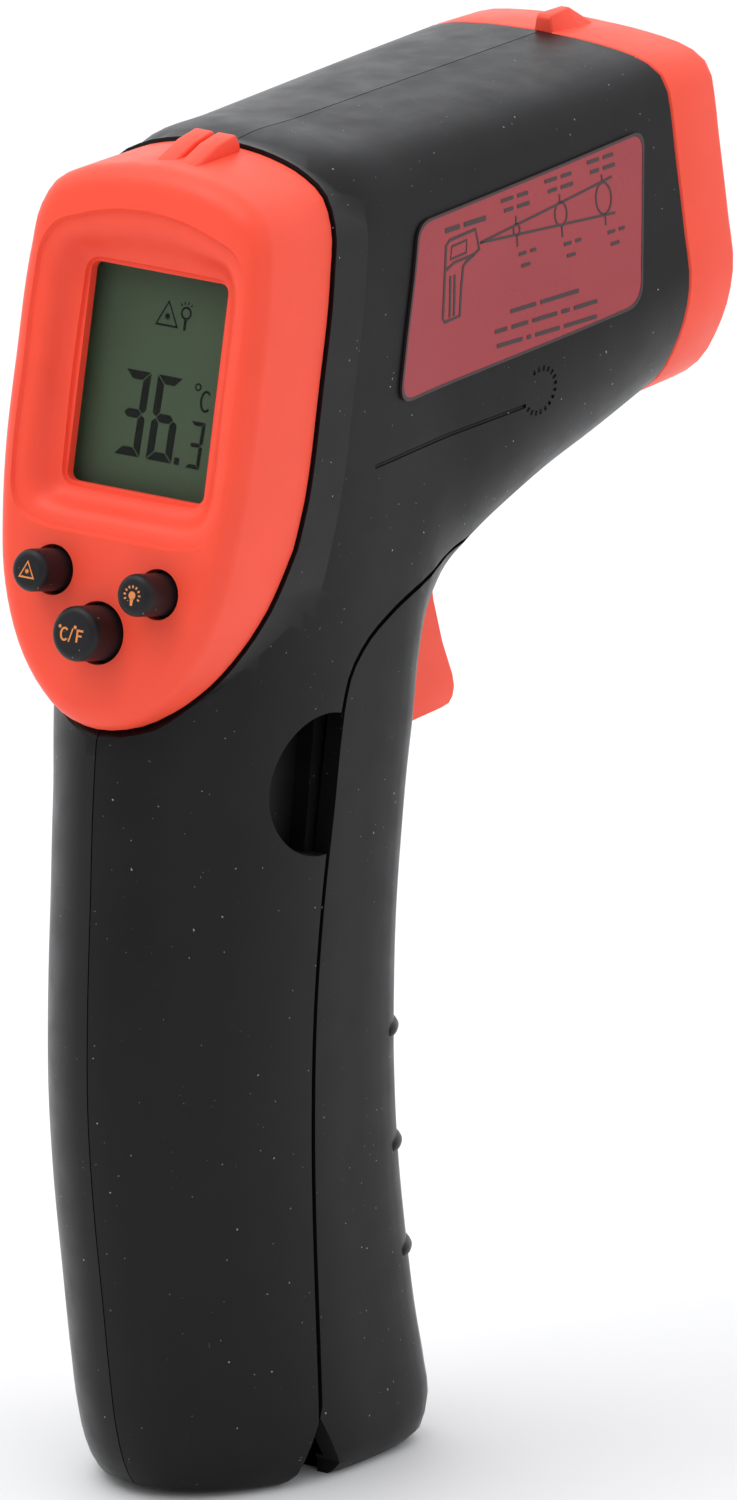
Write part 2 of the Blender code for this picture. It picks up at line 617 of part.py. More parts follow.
def notch_end(side):
    """Wall that closes a thumb notch along the door seam, just inside the door."""
    low_z, high_z = NOTCH_END_REACH
    seam = [tuple(point) for point in smooth(DOOR_SEAM, 2 * len(DOOR_SEAM)) if low_z < point[1] < high_z]
    outline = [(y - 0.9, z) for y, z in seam] + [(y + NOTCH_WALL, z) for y, z in seam[::-1]]
    low, high = sorted((side * (NOTCH_FLOOR - NOTCH_WALL), side * NOTCH_END_HALF))
    return slab(f"notch_end_{side}", outline, low, high, side_frame(), None)


def side_holes(side):
    """Holes for screws, trigger pin and hinge pin in one half."""
    if side > 0:
        shafts = [((-1.5, y, z), (9.0, y, z)) for y, z in SCREWS]
        holes = [rods("screw_bores", shafts, SCREW_RADIUS + GAP, None, 12)]
    else:
        shafts = [((-SCREW_SEAT - 1.0, y, z), (1.5, y, z)) for y, z in SCREWS]
        heads = [((-FAR, y, z), (-SCREW_SEAT, y, z)) for y, z in SCREWS]
        holes = [rods("screw_shafts", shafts, SCREW_RADIUS + GAP, None, 12),
                 rods("screw_heads", heads, SCREW_HEAD + GAP, None, 14)]
    y, z = TRIGGER_PIVOT
    holes.append(rods(f"pin_bore_{side}", [((side * 1.0, y, z), (side * 11.0, y, z))],
                      TRIGGER_PIN_RADIUS + GAP, None))
    y, z = HINGE
    holes.append(rods(f"hinge_bore_{side}", [((side * 1.0, y, z), (side * 12.0, y, z))],
                      HINGE_PIN_RADIUS + GAP, None))
    return holes


def build_door(skin):
    door = add_object("battery_door", skin.data.copy(), BLACK)
    y, z = HINGE
    hollow = loft("door_hollow", body_rings(WALL, CAVITY_SECTIONS), None)
    slot = block("door_slot", (-TRIGGER_SLOT_HALF, TRIGGER_SLOT_HALF, -20.0, 20.0, 75.4, 120.0), None)
    knuckle = rods("knuckle", [((-KNUCKLE_HALF, y, z), (KNUCKLE_HALF, y, z))], KNUCKLE_RADIUS, None)
    ribs = rods("grip_ribs", rib_rods(), 1.25, None, 12)
    lug_room = rods("lug_room", [((-11.5, y, z), (-8.1, y, z)), ((8.1, y, z), (11.5, y, z))], 4.6, None)
    bore = rods("door_bore", [((-12.0, y, z), (12.0, y, z))], HINGE_PIN_RADIUS + GAP, None)
    cut(door, hollow, housing_zone("housing_zone"))
    join(door, knuckle, ribs)
    cut(door, slot, lug_room, bore)
    shade(door)
    pin = rods("hinge_pin", [((-10.8, y, z), (10.8, y, z))], HINGE_PIN_RADIUS, STEEL)
    shade(pin)
    set_origin(door, (0.0, y, z))


def rib_rods():
    """Three grip bars across the front of the door."""
    bars = []
    for z in RIB_HEIGHTS:
        front = np.interp(z, [s[3] for s in STATIONS[:11:-1]], [s[2] for s in STATIONS[:11:-1]])
        bars.append(((-7.5, front - 0.6, z), (7.5, front - 0.6, z)))
    return bars


def set_origin(obj, point):
    """Move an object's origin to a datum point, leaving its shape in place."""
    target = world(*point)
    shift = obj.matrix_world.inverted() @ target
    obj.data.transform(Matrix.Translation(-shift))
    obj.matrix_world = Matrix.Translation(target) @ obj.matrix_world.to_3x3().to_4x4()


# ---------------------------------------------------------------- display end
def build_bezel():
    frame = face_frame()
    rings = []
    for grow, n in ((-0.1, -16.0), (-0.1, -BEZEL_DEPTH[0][1]), (-0.2, -FACE_ROUND),
                    (-0.2 - 0.3 * FACE_ROUND, -0.3 * FACE_ROUND), (-0.2 - FACE_ROUND, 0.0)):
        rings.append([(x, v - top_fall(v, n), n) for x, v in bezel_outline(grow)])
    bezel = loft("display_bezel", rings, CORAL, frame)
    hollow = slab("bezel_hollow", bezel_outline(-BEZEL_WALL), -30.0, -SCREEN_WALL_DEPTH, frame, None)
    lower = [point for point in bezel_outline(-BEZEL_WALL - 0.8) if point[1] < 99.0]
    well = slab("button_well", lower, -30.0, -BEZEL_WALL, frame, None)
    panel = panel_cutter(frame)
    window = slab("screen_opening", rectangle(0.0, SCREEN_V, *SCREEN_OPENING, 0.8), -10.0, 1.0, frame, None)
    cut(bezel, bezel_front_zone("bezel_front_zone", GAP), hollow, well, panel, window)
    for name, (x, v, radius) in BUTTONS.items():
        hole = radius + BUTTON_CLEARANCE
        cut(bezel, turned(f"{name}_hole", [(0.0, 3.0), (hole, 3.0), (hole, -6.0), (0.0, -6.0)],
                          frame @ Matrix.Translation((x * MM, v * MM, 0)), None))
    join(bezel, *rear_sight())
    shade(bezel)


def top_fall(v, n):
    """How far the top of the bezel has come down at a point nearer to the face, so that it runs level."""
    share = max(0.0, v - FALL_FROM) / (BEZEL_OUTLINE[0][1] - FALL_FROM)
    return share * max(0.0, n + BEZEL_DEPTH[0][1]) * math.tan(FACE_LEAN)


def even_ring(outline, count):
    """Distances from the middle of the screen to an outline, at even angles."""
    ring = np.array(outline) - (0.0, SCREEN_V)
    ring = np.concatenate((ring, ring[:1]))
    dense = np.concatenate([np.linspace(a, b, 12, endpoint=False) for a, b in zip(ring, ring[1:])])
    angles = np.arctan2(dense[:, 0], dense[:, 1])
    order = np.argsort(angles)
    even = np.linspace(-math.pi, math.pi, count, endpoint=False)
    return np.interp(even, angles[order], np.hypot(*dense.T)[order], period=2 * math.pi)


def panel_cutter(frame):
    """Sunk panel that slopes from its arched edge to the screen opening."""
    half = smooth(PANEL_EDGE, 30)
    edge = even_ring(np.concatenate((half, half[-2:0:-1] * np.array((-1.0, 1.0)))), PANEL_POINTS)
    opening = even_ring(rectangle(0.0, SCREEN_V, *SCREEN_OPENING, 1.6), PANEL_POINTS)
    even = np.linspace(-math.pi, math.pi, PANEL_POINTS, endpoint=False)
    rings = []
    for blend, grow, depth in PANEL_STEPS:
        reach = edge * (1.0 - blend) + opening * blend + grow
        rings.append([(r * math.sin(a), SCREEN_V + r * math.cos(a), -depth) for r, a in zip(reach, even)])
    return loft("screen_panel", rings, None, frame)


def rear_sight():
    """Two sighting ribs on top of the bezel, with a slot between them."""
    outline = [(-31.0, 149.5), (-31.0, 151.0), (-27.5, 152.3), (-23.4, 153.0), (-22.6, 151.8), (-22.4, 149.5)]
    return [slab(f"rear_sight_{i}", outline, low, high, side_frame(), None)
            for i, (low, high) in enumerate(((-2.8, -0.3), (0.3, 2.8)))]


def layer(name, spec):
    """One of the flat rectangular layers behind the display face."""
    width, height, corner, shift, low, high = LAYERS[name]
    return slab(name, rectangle(0.0, SCREEN_V + shift, width, height, corner), low, high, face_frame(), spec)


def build_display():
    frame = face_frame()
    layer("display_window", CLEAR)
    layer("lcd_panel", LCD)
    layer("backlight_panel", WHITE)
    layer("zebra_connector", RUBBER)
    holder = layer("lcd_frame", WHITE)
    cut(holder, slab("lcd_frame_hole", rectangle(0.0, SCREEN_V, *FRAME_HOLE), -20.0, 0.0, frame, None))
    board_back = -BOARD_DEPTH - BOARD_THICK
    board = slab("main_board", bezel_outline(-3.4), board_back, -BOARD_DEPTH, frame, BOARD)
    for x, v in BOARD_HOLES:
        cut(board, slab(f"board_hole_{x}", circle(x, v, 1.3, 12), -20.0, 0.0, frame, None))
    slab("control_chip", rectangle(*CHIP), -CHIP_DEPTH, board_back - GAP, frame, RUBBER)
    x, v = BUZZER_SPOT
    buzzer = turned("buzzer", BUZZER_PROFILE, frame @ Matrix.Translation((x * MM, v * MM, 0.0)), RUBBER, 24)
    shade(buzzer)
    for name, (x, v, radius) in BUTTONS.items():
        build_button(name, frame @ Matrix.Translation((x * MM, v * MM, 0.0)), radius)


def circle(x, y, radius, count):
    angles = [2 * math.pi * i / count for i in range(count)]
    return [(x + radius * math.cos(a), y + radius * math.sin(a)) for a in angles]


def build_button(name, spot, radius):
    """Push button with its retaining flange and stem, and the switch under it."""
    extra, flange_top, flange_low = BUTTON_FLANGE
    stem, stem_low = BUTTON_STEM
    flange = radius + extra
    crown = [(radius - BUTTON_EDGE * (1.0 - math.sin(a)), BUTTON_RISE - BUTTON_EDGE * (1.0 - math.cos(a)))
             for a in [math.radians(30 * i) for i in range(4)]]
    profile = [(0.0, BUTTON_RISE), *crown, (radius, flange_top), (flange, flange_top), (flange, flange_low),
               (stem, flange_low), (stem, stem_low), (0.0, stem_low)]
    button = turned(f"{name}_button", profile, spot, BUTTON_BLACK, 18)
    shade(button)
    base = slab(f"{name}_switch", rectangle(0.0, 0.0, SWITCH_SIZE, SWITCH_SIZE), -BOARD_DEPTH + GAP,
                -SWITCH_BODY_DEPTH, spot, STEEL)
    foot = -SWITCH_BODY_DEPTH - 0.6
    top = -SWITCH_TOP_DEPTH
    plunger = [(0.0, top), (PLUNGER_RADIUS, top), (PLUNGER_RADIUS, foot), (0.0, foot)]
    join(base, turned(f"{name}_plunger", plunger, spot, None, 14))


# ---------------------------------------------------------------- nose and optics
def nose_rings(steps):
    """Rings of the nose outline at each (y, inset)."""
    rings = []
    for y, shrink in steps:
        ring = section(STATIONS[0], shrink)
        ring[:, 1] = y
        rings.append(ring)
    return rings


def build_nose():
    ring = loft("nose_bezel", nose_rings([(NOSE_SEAM_Y + GAP, 0.0), (44.0, 0.15), (47.8, 0.35), (48.4, 0.7),
                                          (NOSE_FRONT_Y, 1.3)]), CORAL)
    spigot = loft("nose_spigot", nose_rings([(35.5, WALL + 0.7), (41.0, WALL + 0.7)]), None)
    throat = loft("nose_throat", nose_rings([(20.0, WALL + 2.2), (60.0, WALL + 2.2)]), None)
    seat = loft("nose_seat", nose_rings([(44.6, 2.9), (60.0, 2.9)]), None)
    join(ring, spigot, front_sight())
    cut(ring, throat, seat)
    shade(ring)
    plate = loft("nose_plate", nose_rings([(44.9, 3.2), (46.6, 3.2)]), BLACK)
    mouth = turned("optic_mouth", [(0.0, 60.0), (9.6, 60.0), (9.6, 46.6), (8.0, 44.0), (0.0, 44.0)],
                   place(0.0, 0.0, OPTIC_Z, (0, 1, 0)), None, 28)
    exit_hole = rods("laser_exit", [((0.0, 40.0, LASER_Z), (0.0, 60.0, LASER_Z))], 2.2, None)
    cut(plate, mouth, exit_hole)
    shade(plate)


def front_sight():
    """Wedge on top of the nose ring: upright at the rear, level, then falling to the front."""
    sight = [(39.3, 1.6, 0.95, 153.0), (43.7, 2.7, 0.6, 153.05), (48.1, 3.2, 0.3, 150.5)]
    foot = 149.4
    rings = [[(-base, y, foot), (-top, y, peak), (top, y, peak), (base, y, foot)]
             for y, base, top, peak in sight]
    return loft("front_sight", rings, None)


def build_optics():
    axis = place(0.0, 0.0, OPTIC_Z, (0, 1, 0))
    waist = BARREL_OUTER - 0.6
    foot = BARREL_OUTER + 1.2
    tube = [(BARREL_INNER, BARREL_FRONT), (BARREL_OUTER, BARREL_FRONT), (BARREL_OUTER, 41.0), (waist, 40.6),
            (waist, 24.0), (foot, 24.0), (foot, BARREL_REAR), (SENSOR_BORE, BARREL_REAR),
            (SENSOR_BORE, LENS_Y - 2.0), (BARREL_INNER, LENS_Y - 1.2)]
    barrel = turned("lens_barrel", tube, axis, BLACK, 24)
    shade(barrel)
    lens = turned("ir_lens", [(0.0, LENS_Y + 0.9), (3.0, LENS_Y + 0.75), (5.4, LENS_Y + 0.3),
                              (LENS_RADIUS, LENS_Y - 0.1), (LENS_RADIUS, LENS_Y - 0.9), (0.0, LENS_Y - 0.9)],
                  axis, LENS, 24)
    shade(lens)
    sensor = turned("thermopile_sensor", SENSOR_PROFILE, axis, STEEL, 20)
    shade(sensor)
    block("sensor_board", (-10.0, 10.0, 19.0, 20.2, OPTIC_Z - 11.0, OPTIC_Z + 10.0), BOARD)
    laser = turned("laser_module", LASER_PROFILE, place(0.0, 0.0, LASER_Z, (0, 1, 0)), BRASS, 16)
    shade(laser)
    bracket = block("laser_bracket", (-5.2, 5.2, 35.5, 41.5, LASER_Z - 4.6, LASER_Z + 1.0), BLACK)
    seat = [((0.0, 30.0, LASER_Z), (0.0, 50.0, LASER_Z))]
    cut(bracket, rods("laser_seat", seat, LASER_RADIUS + GAP, None, 18))


# ---------------------------------------------------------------- trigger
def build_trigger():
    y, z = TRIGGER_PIVOT
    trigger = slab("trigger", TRIGGER_OUTLINE, -TRIGGER_HALF, TRIGGER_HALF, side_frame(), CORAL)
    bevel = trigger.modifiers.new("edge", "BEVEL")
    bevel.width = TRIGGER_EDGE * MM
    bevel.segments = 2
    bevel.limit_method = "ANGLE"
    bevel.angle_limit = math.radians(50)
    cut(trigger, rods("trigger_bore", [((-9.0, y, z), (9.0, y, z))], TRIGGER_PIN_RADIUS + GAP, None))
    shade(trigger)
    set_origin(trigger, (0.0, y, z))
    ends = [((-TRIGGER_PIN_HALF, y, z), (TRIGGER_PIN_HALF, y, z))]
    pin = rods("trigger_pin", ends, TRIGGER_PIN_RADIUS, STEEL)
    shade(pin)
    block("trigger_board", TRIGGER_BOARD, BOARD)
    switch = block("trigger_switch", TRIGGER_SWITCH, BUTTON_BLACK)
    join(switch, rods("trigger_plunger", [TRIGGER_PLUNGER], 1.4, None, 12))
    wire("trigger_spring", helix(TRIGGER_SPRING_FOOT, (0, 1, 0), 1.9, 5, TRIGGER_SPRING_LENGTH), 0.25, STEEL)


# ---------------------------------------------------------------- batteries
def build_batteries():
    x0, x1, y0, y1, z0, z1 = TRAY
    tray = block("battery_tray", TRAY, BLACK)
    room = (x0 + 0.8, x1 - 0.8, y0 + 1.6, y1 + 5.0, z0 + TRAY_END, z1 - TRAY_END)
    cut(tray, block("tray_room", room, None))
    low = CELL_LOW_Z
    high = CELL_LOW_Z + CELL_LENGTH
    for index, side in enumerate((-1, 1)):
        ends = [(0.0, high + CELL_NIPPLE), (1.9, high + CELL_NIPPLE), (1.9, high), (CELL_RADIUS - 0.4, high),
                (CELL_RADIUS, high - 0.5), (CELL_RADIUS, low + 0.4), (CELL_RADIUS - 0.4, low), (0.0, low)]
        if side < 0:
            middle = low + high + CELL_NIPPLE
            ends = [(radius, middle - height) for radius, height in reversed(ends)]
        cell = turned(f"battery_{index + 1}", ends, place(side * CELL_X, CELL_Y, 0.0), CELL, 20)
        shade(cell)
    build_contacts(z0 + TRAY_END + GAP, z1 - TRAY_END - GAP, high)


def build_contacts(lower, upper, cell_top):
    """Springs, link and contact plates between the cells and the ends of the tray."""
    front = CELL_Y + 3.5
    back = CELL_Y - 4.5
    foot = lower + 0.9
    spring = helix((CELL_X, CELL_Y, foot), (0, 0, 1), 2.6, 3, CELL_LOW_Z - 0.65 - foot)
    wire("battery_spring_right", spring, 0.3, STEEL)
    head = upper - 0.9
    spring = helix((-CELL_X, CELL_Y, head), (0, 0, -1), 2.6, 3, head - cell_top - 1.55)
    wire("battery_spring_left", spring, 0.3, STEEL)
    link = block("link_plate", (-10.8, 10.8, back, front, lower, lower + CONTACT_THICK), STEEL)
    bump = [((-CELL_X, CELL_Y, lower + 0.2), (-CELL_X, CELL_Y, CELL_LOW_Z - GAP))]
    join(link, rods("link_bump", bump, 2.2, None, 12))
    plus = block("contact_plus", (2.0, 10.4, back, front, upper - CONTACT_THICK, upper), STEEL)
    bump = [((CELL_X, CELL_Y, cell_top + CELL_NIPPLE + GAP), (CELL_X, CELL_Y, upper - 0.2))]
    join(plus, rods("plus_bump", bump, 2.2, None, 12))
    block("contact_minus", (-10.4, -2.0, back, front, upper - CONTACT_THICK, upper), STEEL)


def build_wires():
    for side, name, spec in ((1, "battery_lead_red", WIRE_RED), (-1, "battery_lead_black", WIRE_BLACK)):
        wire(name, [(side * x, y, z) for x, y, z in BATTERY_LEAD], WIRE_RADIUS, spec, 14)
    wire("laser_lead", [(0.0, 30.8, LASER_Z), *LASER_LEAD], WIRE_RADIUS, WIRE_RED, 16)
    block("sensor_cable", SENSOR_CABLE, WHITE)


def build_screws():
    for index, (y, z) in enumerate(SCREWS):
        under = SCREW_SEAT + GAP
        profile = [(0.0, under + 1.3), (1.2, under + 1.3), (SCREW_HEAD, under + 0.6), (SCREW_HEAD, under),
                   (SCREW_RADIUS, under), (SCREW_RADIUS, -7.4), (0.4, -8.6), (0.0, -8.6)]
        screw = turned(f"housing_screw_{index + 1}", profile, place(0.0, y, z, (-1, 0, 0)), STEEL, 10)
        shade(screw)


# ---------------------------------------------------------------- side labels
def label_edge(count=6):
    """Rounded outline of the label in (y, z), leaning with the barrel."""
    points = []
    for index, (corner, radius) in enumerate(LABEL_CORNERS):
        here = Vector(corner)
        before = (Vector(LABEL_CORNERS[index - 1][0]) - here).normalized()
        after = (Vector(LABEL_CORNERS[(index + 1) % 4][0]) - here).normalized()
        start = here + before * radius
        end = here + after * radius
        for step in range(count):
            t = step / (count - 1)
            points.append(start * (1 - t) ** 2 + here * 2 * t * (1 - t) + end * t * t)
    return points


def build_label(side, name, half_width):
    """Thin printed film that follows the side of the barrel."""
    outline = label_edge()
    middle = sum(outline, Vector((0, 0))) / len(outline)
    shape = bmesh.new()
    levels = []
    for lift in (GAP, GAP + LABEL_THICK):
        rings = []
        for share in (1.0, 0.66, 0.33):
            ring = []
            for point in outline:
                y, z = middle + (point - middle) * share
                ring.append(shape.verts.new(world(side * (half_width(y, z) + lift), y, z)))
            rings.append(ring)
        centre = shape.verts.new(world(side * (half_width(*middle) + lift), *middle))
        for outer, inner in zip(rings, rings[1:]):
            for i in range(len(outer)):
                j = (i + 1) % len(outer)
                shape.faces.new((outer[i], outer[j], inner[j], inner[i]))
        for i in range(len(outline)):
            shape.faces.new((rings[-1][i], rings[-1][(i + 1) % len(outline)], centre))
        levels.append(rings[0])
    for i in range(len(outline)):
        j = (i + 1) % len(outline)
        shape.faces.new((levels[0][i], levels[0][j], levels[1][j], levels[1][i]))
    bmesh.ops.recalc_face_normals(shape, faces=shape.faces)
    mesh = bpy.data.meshes.new(name)
    shape.to_mesh(mesh)
    shape.free()
    add_object(name, mesh, LABEL_RED)


# ---------------------------------------------------------------- assembly
clear_scene()
PARTS = new_collection("infrared_thermometer")
CUTTERS = new_collection("cutters")


def build():
    skin = outer_mesh()
    half_width = surface_probe(skin)
    build_housing(skin, half_width)
    build_door(skin)
    build_bezel()
    build_display()
    build_nose()
    build_optics()
    build_trigger()
    build_batteries()
    build_wires()
    build_screws()
    build_label(1, "side_label_right", half_width)
    build_label(-1, "side_label_left", half_width)


build()
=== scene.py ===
"""Looks of a pistol-shaped infrared thermometer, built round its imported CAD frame.

Outlines are in the CAD's own datum millimetres: x to the right, y forward, z up, or on the
leaning display face (x, v, n), with v up the face and n out of it. `world` turns them into
metres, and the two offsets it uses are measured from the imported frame.
"""

import json
import math

import bpy
import bmesh
import numpy as np
from mathutils import Matrix, Vector
from mathutils.bvhtree import BVHTree

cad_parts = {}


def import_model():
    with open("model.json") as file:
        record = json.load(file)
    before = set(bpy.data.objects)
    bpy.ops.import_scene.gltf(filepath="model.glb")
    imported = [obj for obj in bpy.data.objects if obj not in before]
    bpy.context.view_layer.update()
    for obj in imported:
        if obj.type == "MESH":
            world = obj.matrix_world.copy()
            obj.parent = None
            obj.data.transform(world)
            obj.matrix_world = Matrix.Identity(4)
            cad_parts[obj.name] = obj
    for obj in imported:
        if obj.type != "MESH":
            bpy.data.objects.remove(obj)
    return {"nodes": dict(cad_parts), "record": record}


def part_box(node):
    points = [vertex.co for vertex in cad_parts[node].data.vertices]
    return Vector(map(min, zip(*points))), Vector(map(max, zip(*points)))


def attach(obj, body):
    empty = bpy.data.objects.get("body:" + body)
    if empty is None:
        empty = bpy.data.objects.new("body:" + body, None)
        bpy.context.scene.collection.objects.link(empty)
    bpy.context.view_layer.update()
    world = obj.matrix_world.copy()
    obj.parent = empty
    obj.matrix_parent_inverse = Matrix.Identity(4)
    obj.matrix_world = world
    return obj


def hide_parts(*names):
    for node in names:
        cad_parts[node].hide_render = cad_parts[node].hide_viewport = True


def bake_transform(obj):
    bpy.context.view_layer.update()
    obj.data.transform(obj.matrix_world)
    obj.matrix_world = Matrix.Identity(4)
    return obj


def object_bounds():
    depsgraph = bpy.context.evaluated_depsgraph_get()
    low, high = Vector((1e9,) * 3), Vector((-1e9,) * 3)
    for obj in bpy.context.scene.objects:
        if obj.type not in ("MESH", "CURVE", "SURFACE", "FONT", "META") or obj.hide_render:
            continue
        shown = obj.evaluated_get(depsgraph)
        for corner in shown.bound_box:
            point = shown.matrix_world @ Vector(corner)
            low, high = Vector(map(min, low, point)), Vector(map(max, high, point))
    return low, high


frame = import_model()
CAD_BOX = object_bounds()
NODES = frame["nodes"]

# ---- dimensions (mm)
MM = 0.001
GAP = 0.3
WALL = 2.2
FAR = 90.0
ZONE_TOP = 170.0
ZONE_FOOT = -5.0

# Body stations: outer end (y, z), inner end (y, z), half width, form (0 nose, 1 elbow, 2 handle).
STATIONS = [
    (38.9, 151.2, 38.9, 108.2, 20.6, 0.0),
    (28.0, 151.2, 30.0, 105.6, 20.2, 0.1),
    (16.0, 151.2, 21.2, 103.4, 19.5, 0.3),
    (4.0, 151.2, 14.4, 101.2, 18.6, 0.55),
    (-8.0, 151.2, 9.4, 99.3, 17.7, 0.8),
    (-19.0, 151.2, 5.9, 97.6, 17.0, 1.0),
    (-28.0, 148.5, 3.2, 96.0, 16.8, 1.05),
    (-34.0, 140.0, 1.1, 94.0, 16.7, 1.15),
    (-38.0, 128.0, -0.7, 91.3, 16.6, 1.3),
    (-40.5, 115.0, -1.9, 87.5, 16.5, 1.5),
    (-43.0, 102.0, -2.7, 82.0, 16.3, 1.75),
    (-45.7, 91.0, -3.6, 75.5, 16.0, 1.9),
    (-46.8, 81.0, -4.4, 68.8, 15.8, 2.0),
    (-47.4, 69.0, -5.2, 61.0, 15.7, 2.0),
    (-48.0, 56.0, -5.6, 52.0, 15.7, 2.0),
    (-48.0, 45.5, -5.6, 44.0, 15.7, 2.0),
    (-47.1, 35.0, -5.0, 34.5, 15.7, 2.0),
    (-45.3, 22.5, -3.3, 23.0, 15.7, 2.0),
    (-43.9, 13.0, -1.4, 13.5, 15.7, 2.0),
    (-42.8, 7.0, 0.2, 7.5, 15.7, 2.0),
    (-41.2, 2.3, 1.0, 3.0, 15.6, 2.0),
    (-39.3, -0.5, 0.0, -0.3, 15.0, 2.0),
    (-35.8, -1.8, -3.0, -1.8, 13.4, 2.0),
]
# Half outline of each form: (share of the way from outer to inner end, share of half width).
NOSE_FORM = [(0.0, 0.0), (0.01, 0.42), (0.028, 0.66), (0.052, 0.78), (0.088, 0.838), (0.14, 0.865),
             (0.258, 0.9), (0.47, 0.964), (0.61, 1.0), (0.69, 0.975), (0.786, 0.903), (0.886, 0.775),
             (0.955, 0.56), (0.99, 0.28), (1.0, 0.0)]
ELBOW_FORM = [(0.0, 0.0), (0.006, 0.4), (0.02, 0.64), (0.045, 0.8), (0.08, 0.885), (0.13, 0.93),
              (0.22, 0.962), (0.4, 0.985), (0.65, 1.0), (0.85, 0.96), (0.93, 0.83), (0.98, 0.5),
              (1.0, 0.0)]
HANDLE_FORM = [(0.0, 0.0), (0.006, 0.14), (0.03, 0.3), (0.08, 0.486), (0.16, 0.663), (0.27, 0.82),
               (0.4, 0.928), (0.53, 0.986), (0.66, 1.0), (0.79, 0.998), (0.87, 0.965), (0.92, 0.897),
               (0.955, 0.8), (0.982, 0.66), (0.996, 0.48), (1.0, 0.3), (1.0, 0.0)]
SECTION_SCALE = np.array((43.0, 20.0))
SECTIONS = 100
CAVITY_SECTIONS = 36
HALF_POINTS = 34

# Display face and bezel.
FACE_LEAN = math.radians(11.8)
FACE_OUT = 65.43
BEZEL_OUTLINE = [(0.0, 143.7), (6.5, 143.0), (11.0, 141.7), (14.1, 139.8), (15.8, 136.6), (16.5, 131.0),
                 (16.8, 118.0), (16.75, 107.0), (16.2, 100.4), (15.0, 93.2), (13.4, 88.6), (10.8, 84.0),
                 (8.0, 80.9), (4.9, 78.7), (2.1, 77.8), (0.0, 77.6)]
BEZEL_POINTS = 52
BEZEL_DEPTH = [(150.0, 13.35), (106.0, 13.35), (100.4, 13.0), (93.2, 11.0), (89.7, 9.8), (84.5, 7.8),
               (81.0, 6.0), (78.7, 4.3), (77.3, 2.6), (75.0, 1.6)]
BEZEL_WALL = 2.2
COLLAR_DEPTH = 19.4
COLLAR_STEP = 0.35
BAY_INSET = 2.4
MOUTH_INSET = 2.6
SEAM_HALF = 0.07
FALL_FROM = 118.0
FACE_ROUND = 2.5
FACE_DRAFT = 0.2
WELL_TOP = 99.0
WELL_INSET = 0.8
SCREEN_V = 116.8
SCREEN_OPENING = (18.8, 24.7)
SCREEN_WALL_DEPTH = 5.05
# The sunk panel round the screen: its arched edge, then its steps inwards as (blend from the
# edge to the screen opening, growth of the blended outline, depth).
PANEL_EDGE = [(0.0, 136.1), (4.5, 135.7), (9.4, 134.4), (12.4, 133.1), (14.0, 130.6), (14.4, 126.5),
              (14.5, 116.0), (14.4, 105.5), (14.0, 102.4), (12.5, 100.3), (9.6, 99.4), (4.0, 99.2),
              (0.0, 99.2)]
PANEL_STEPS = [(0.0, 0.0, -1.0), (0.0, 0.0, -0.06), (0.0, -0.4, 0.5), (0.0, -1.5, 0.62), (0.2, -1.1, 0.95),
               (0.42, -0.5, 1.6), (0.64, 0.2, 2.35), (0.84, 0.7, 2.95), (1.0, 1.05, 3.3), (1.0, 0.6, 3.4),
               (1.0, 0.45, 3.9)]
PANEL_POINTS = 240
LCD_SIZE = (23.0, 29.0)
LCD_LEVELS = (-8.5, -6.6)
LCD_LAMP = (2.2, 124.85)
WINDOW_SIZE = (20.8, 26.8)
WINDOW_LEVELS = (-6.3, -5.35)

# Buttons: height and edge of a cap, room round it, its flange (growth, top, underside) and its
# stem (radius, foot), then each one's place (x, v) and radius.
BUTTON_RISE = 4.8
BUTTON_EDGE = 0.9
BUTTON_ROOM = 0.45
BUTTON_FLANGE = (1.1, -2.7, -3.6)
BUTTON_STEM = (1.4, -6.2)
SMALL_BUTTON = 2.4
UNIT_BUTTON = 3.1
BUTTONS = {"laser": (-7.1, 94.7, SMALL_BUTTON), "backlight": (7.4, 94.2, SMALL_BUTTON),
           "unit": (0.0, 88.7, UNIT_BUTTON)}

# Battery door seam on the side of the handle, hinge, thumb notch and grip bars.
DOOR_SEAM = [(5.9, 102.3), (0.3, 101.7), (-4.0, 100.6), (-8.8, 99.5), (-13.3, 97.9), (-17.8, 95.4),
             (-20.5, 92.4), (-21.6, 89.3), (-22.3, 85.3), (-23.3, 77.3), (-25.0, 66.0), (-26.2, 55.0),
             (-26.6, 40.0), (-26.3, 31.0), (-25.6, 20.5), (-24.4, 5.5)]
DOOR_GAP = 0.6
HINGE = (-20.0, 2.7)
KNUCKLE_RADIUS = 2.6
KNUCKLE_HALF = 8.0
HINGE_PIN_RADIUS = 1.0
LUG_LIMITS = (8.5, 11.0)
NOTCH = (-24.5, 80.3, 8.2)
NOTCH_FLOOR = 11.0
NOTCH_REACH = 15.2
NOTCH_END_HALF = 13.1
NOTCH_END_HEIGHTS = (71.0, 89.5)
POST_COVER = 0.8
NOTCH_WALL = 1.2
RIB_HEIGHTS = (48.2, 34.6, 21.8)
RIB_RADIUS = 1.25
RIB_SUNK = 0.65
RIB_SPREAD = 68.0

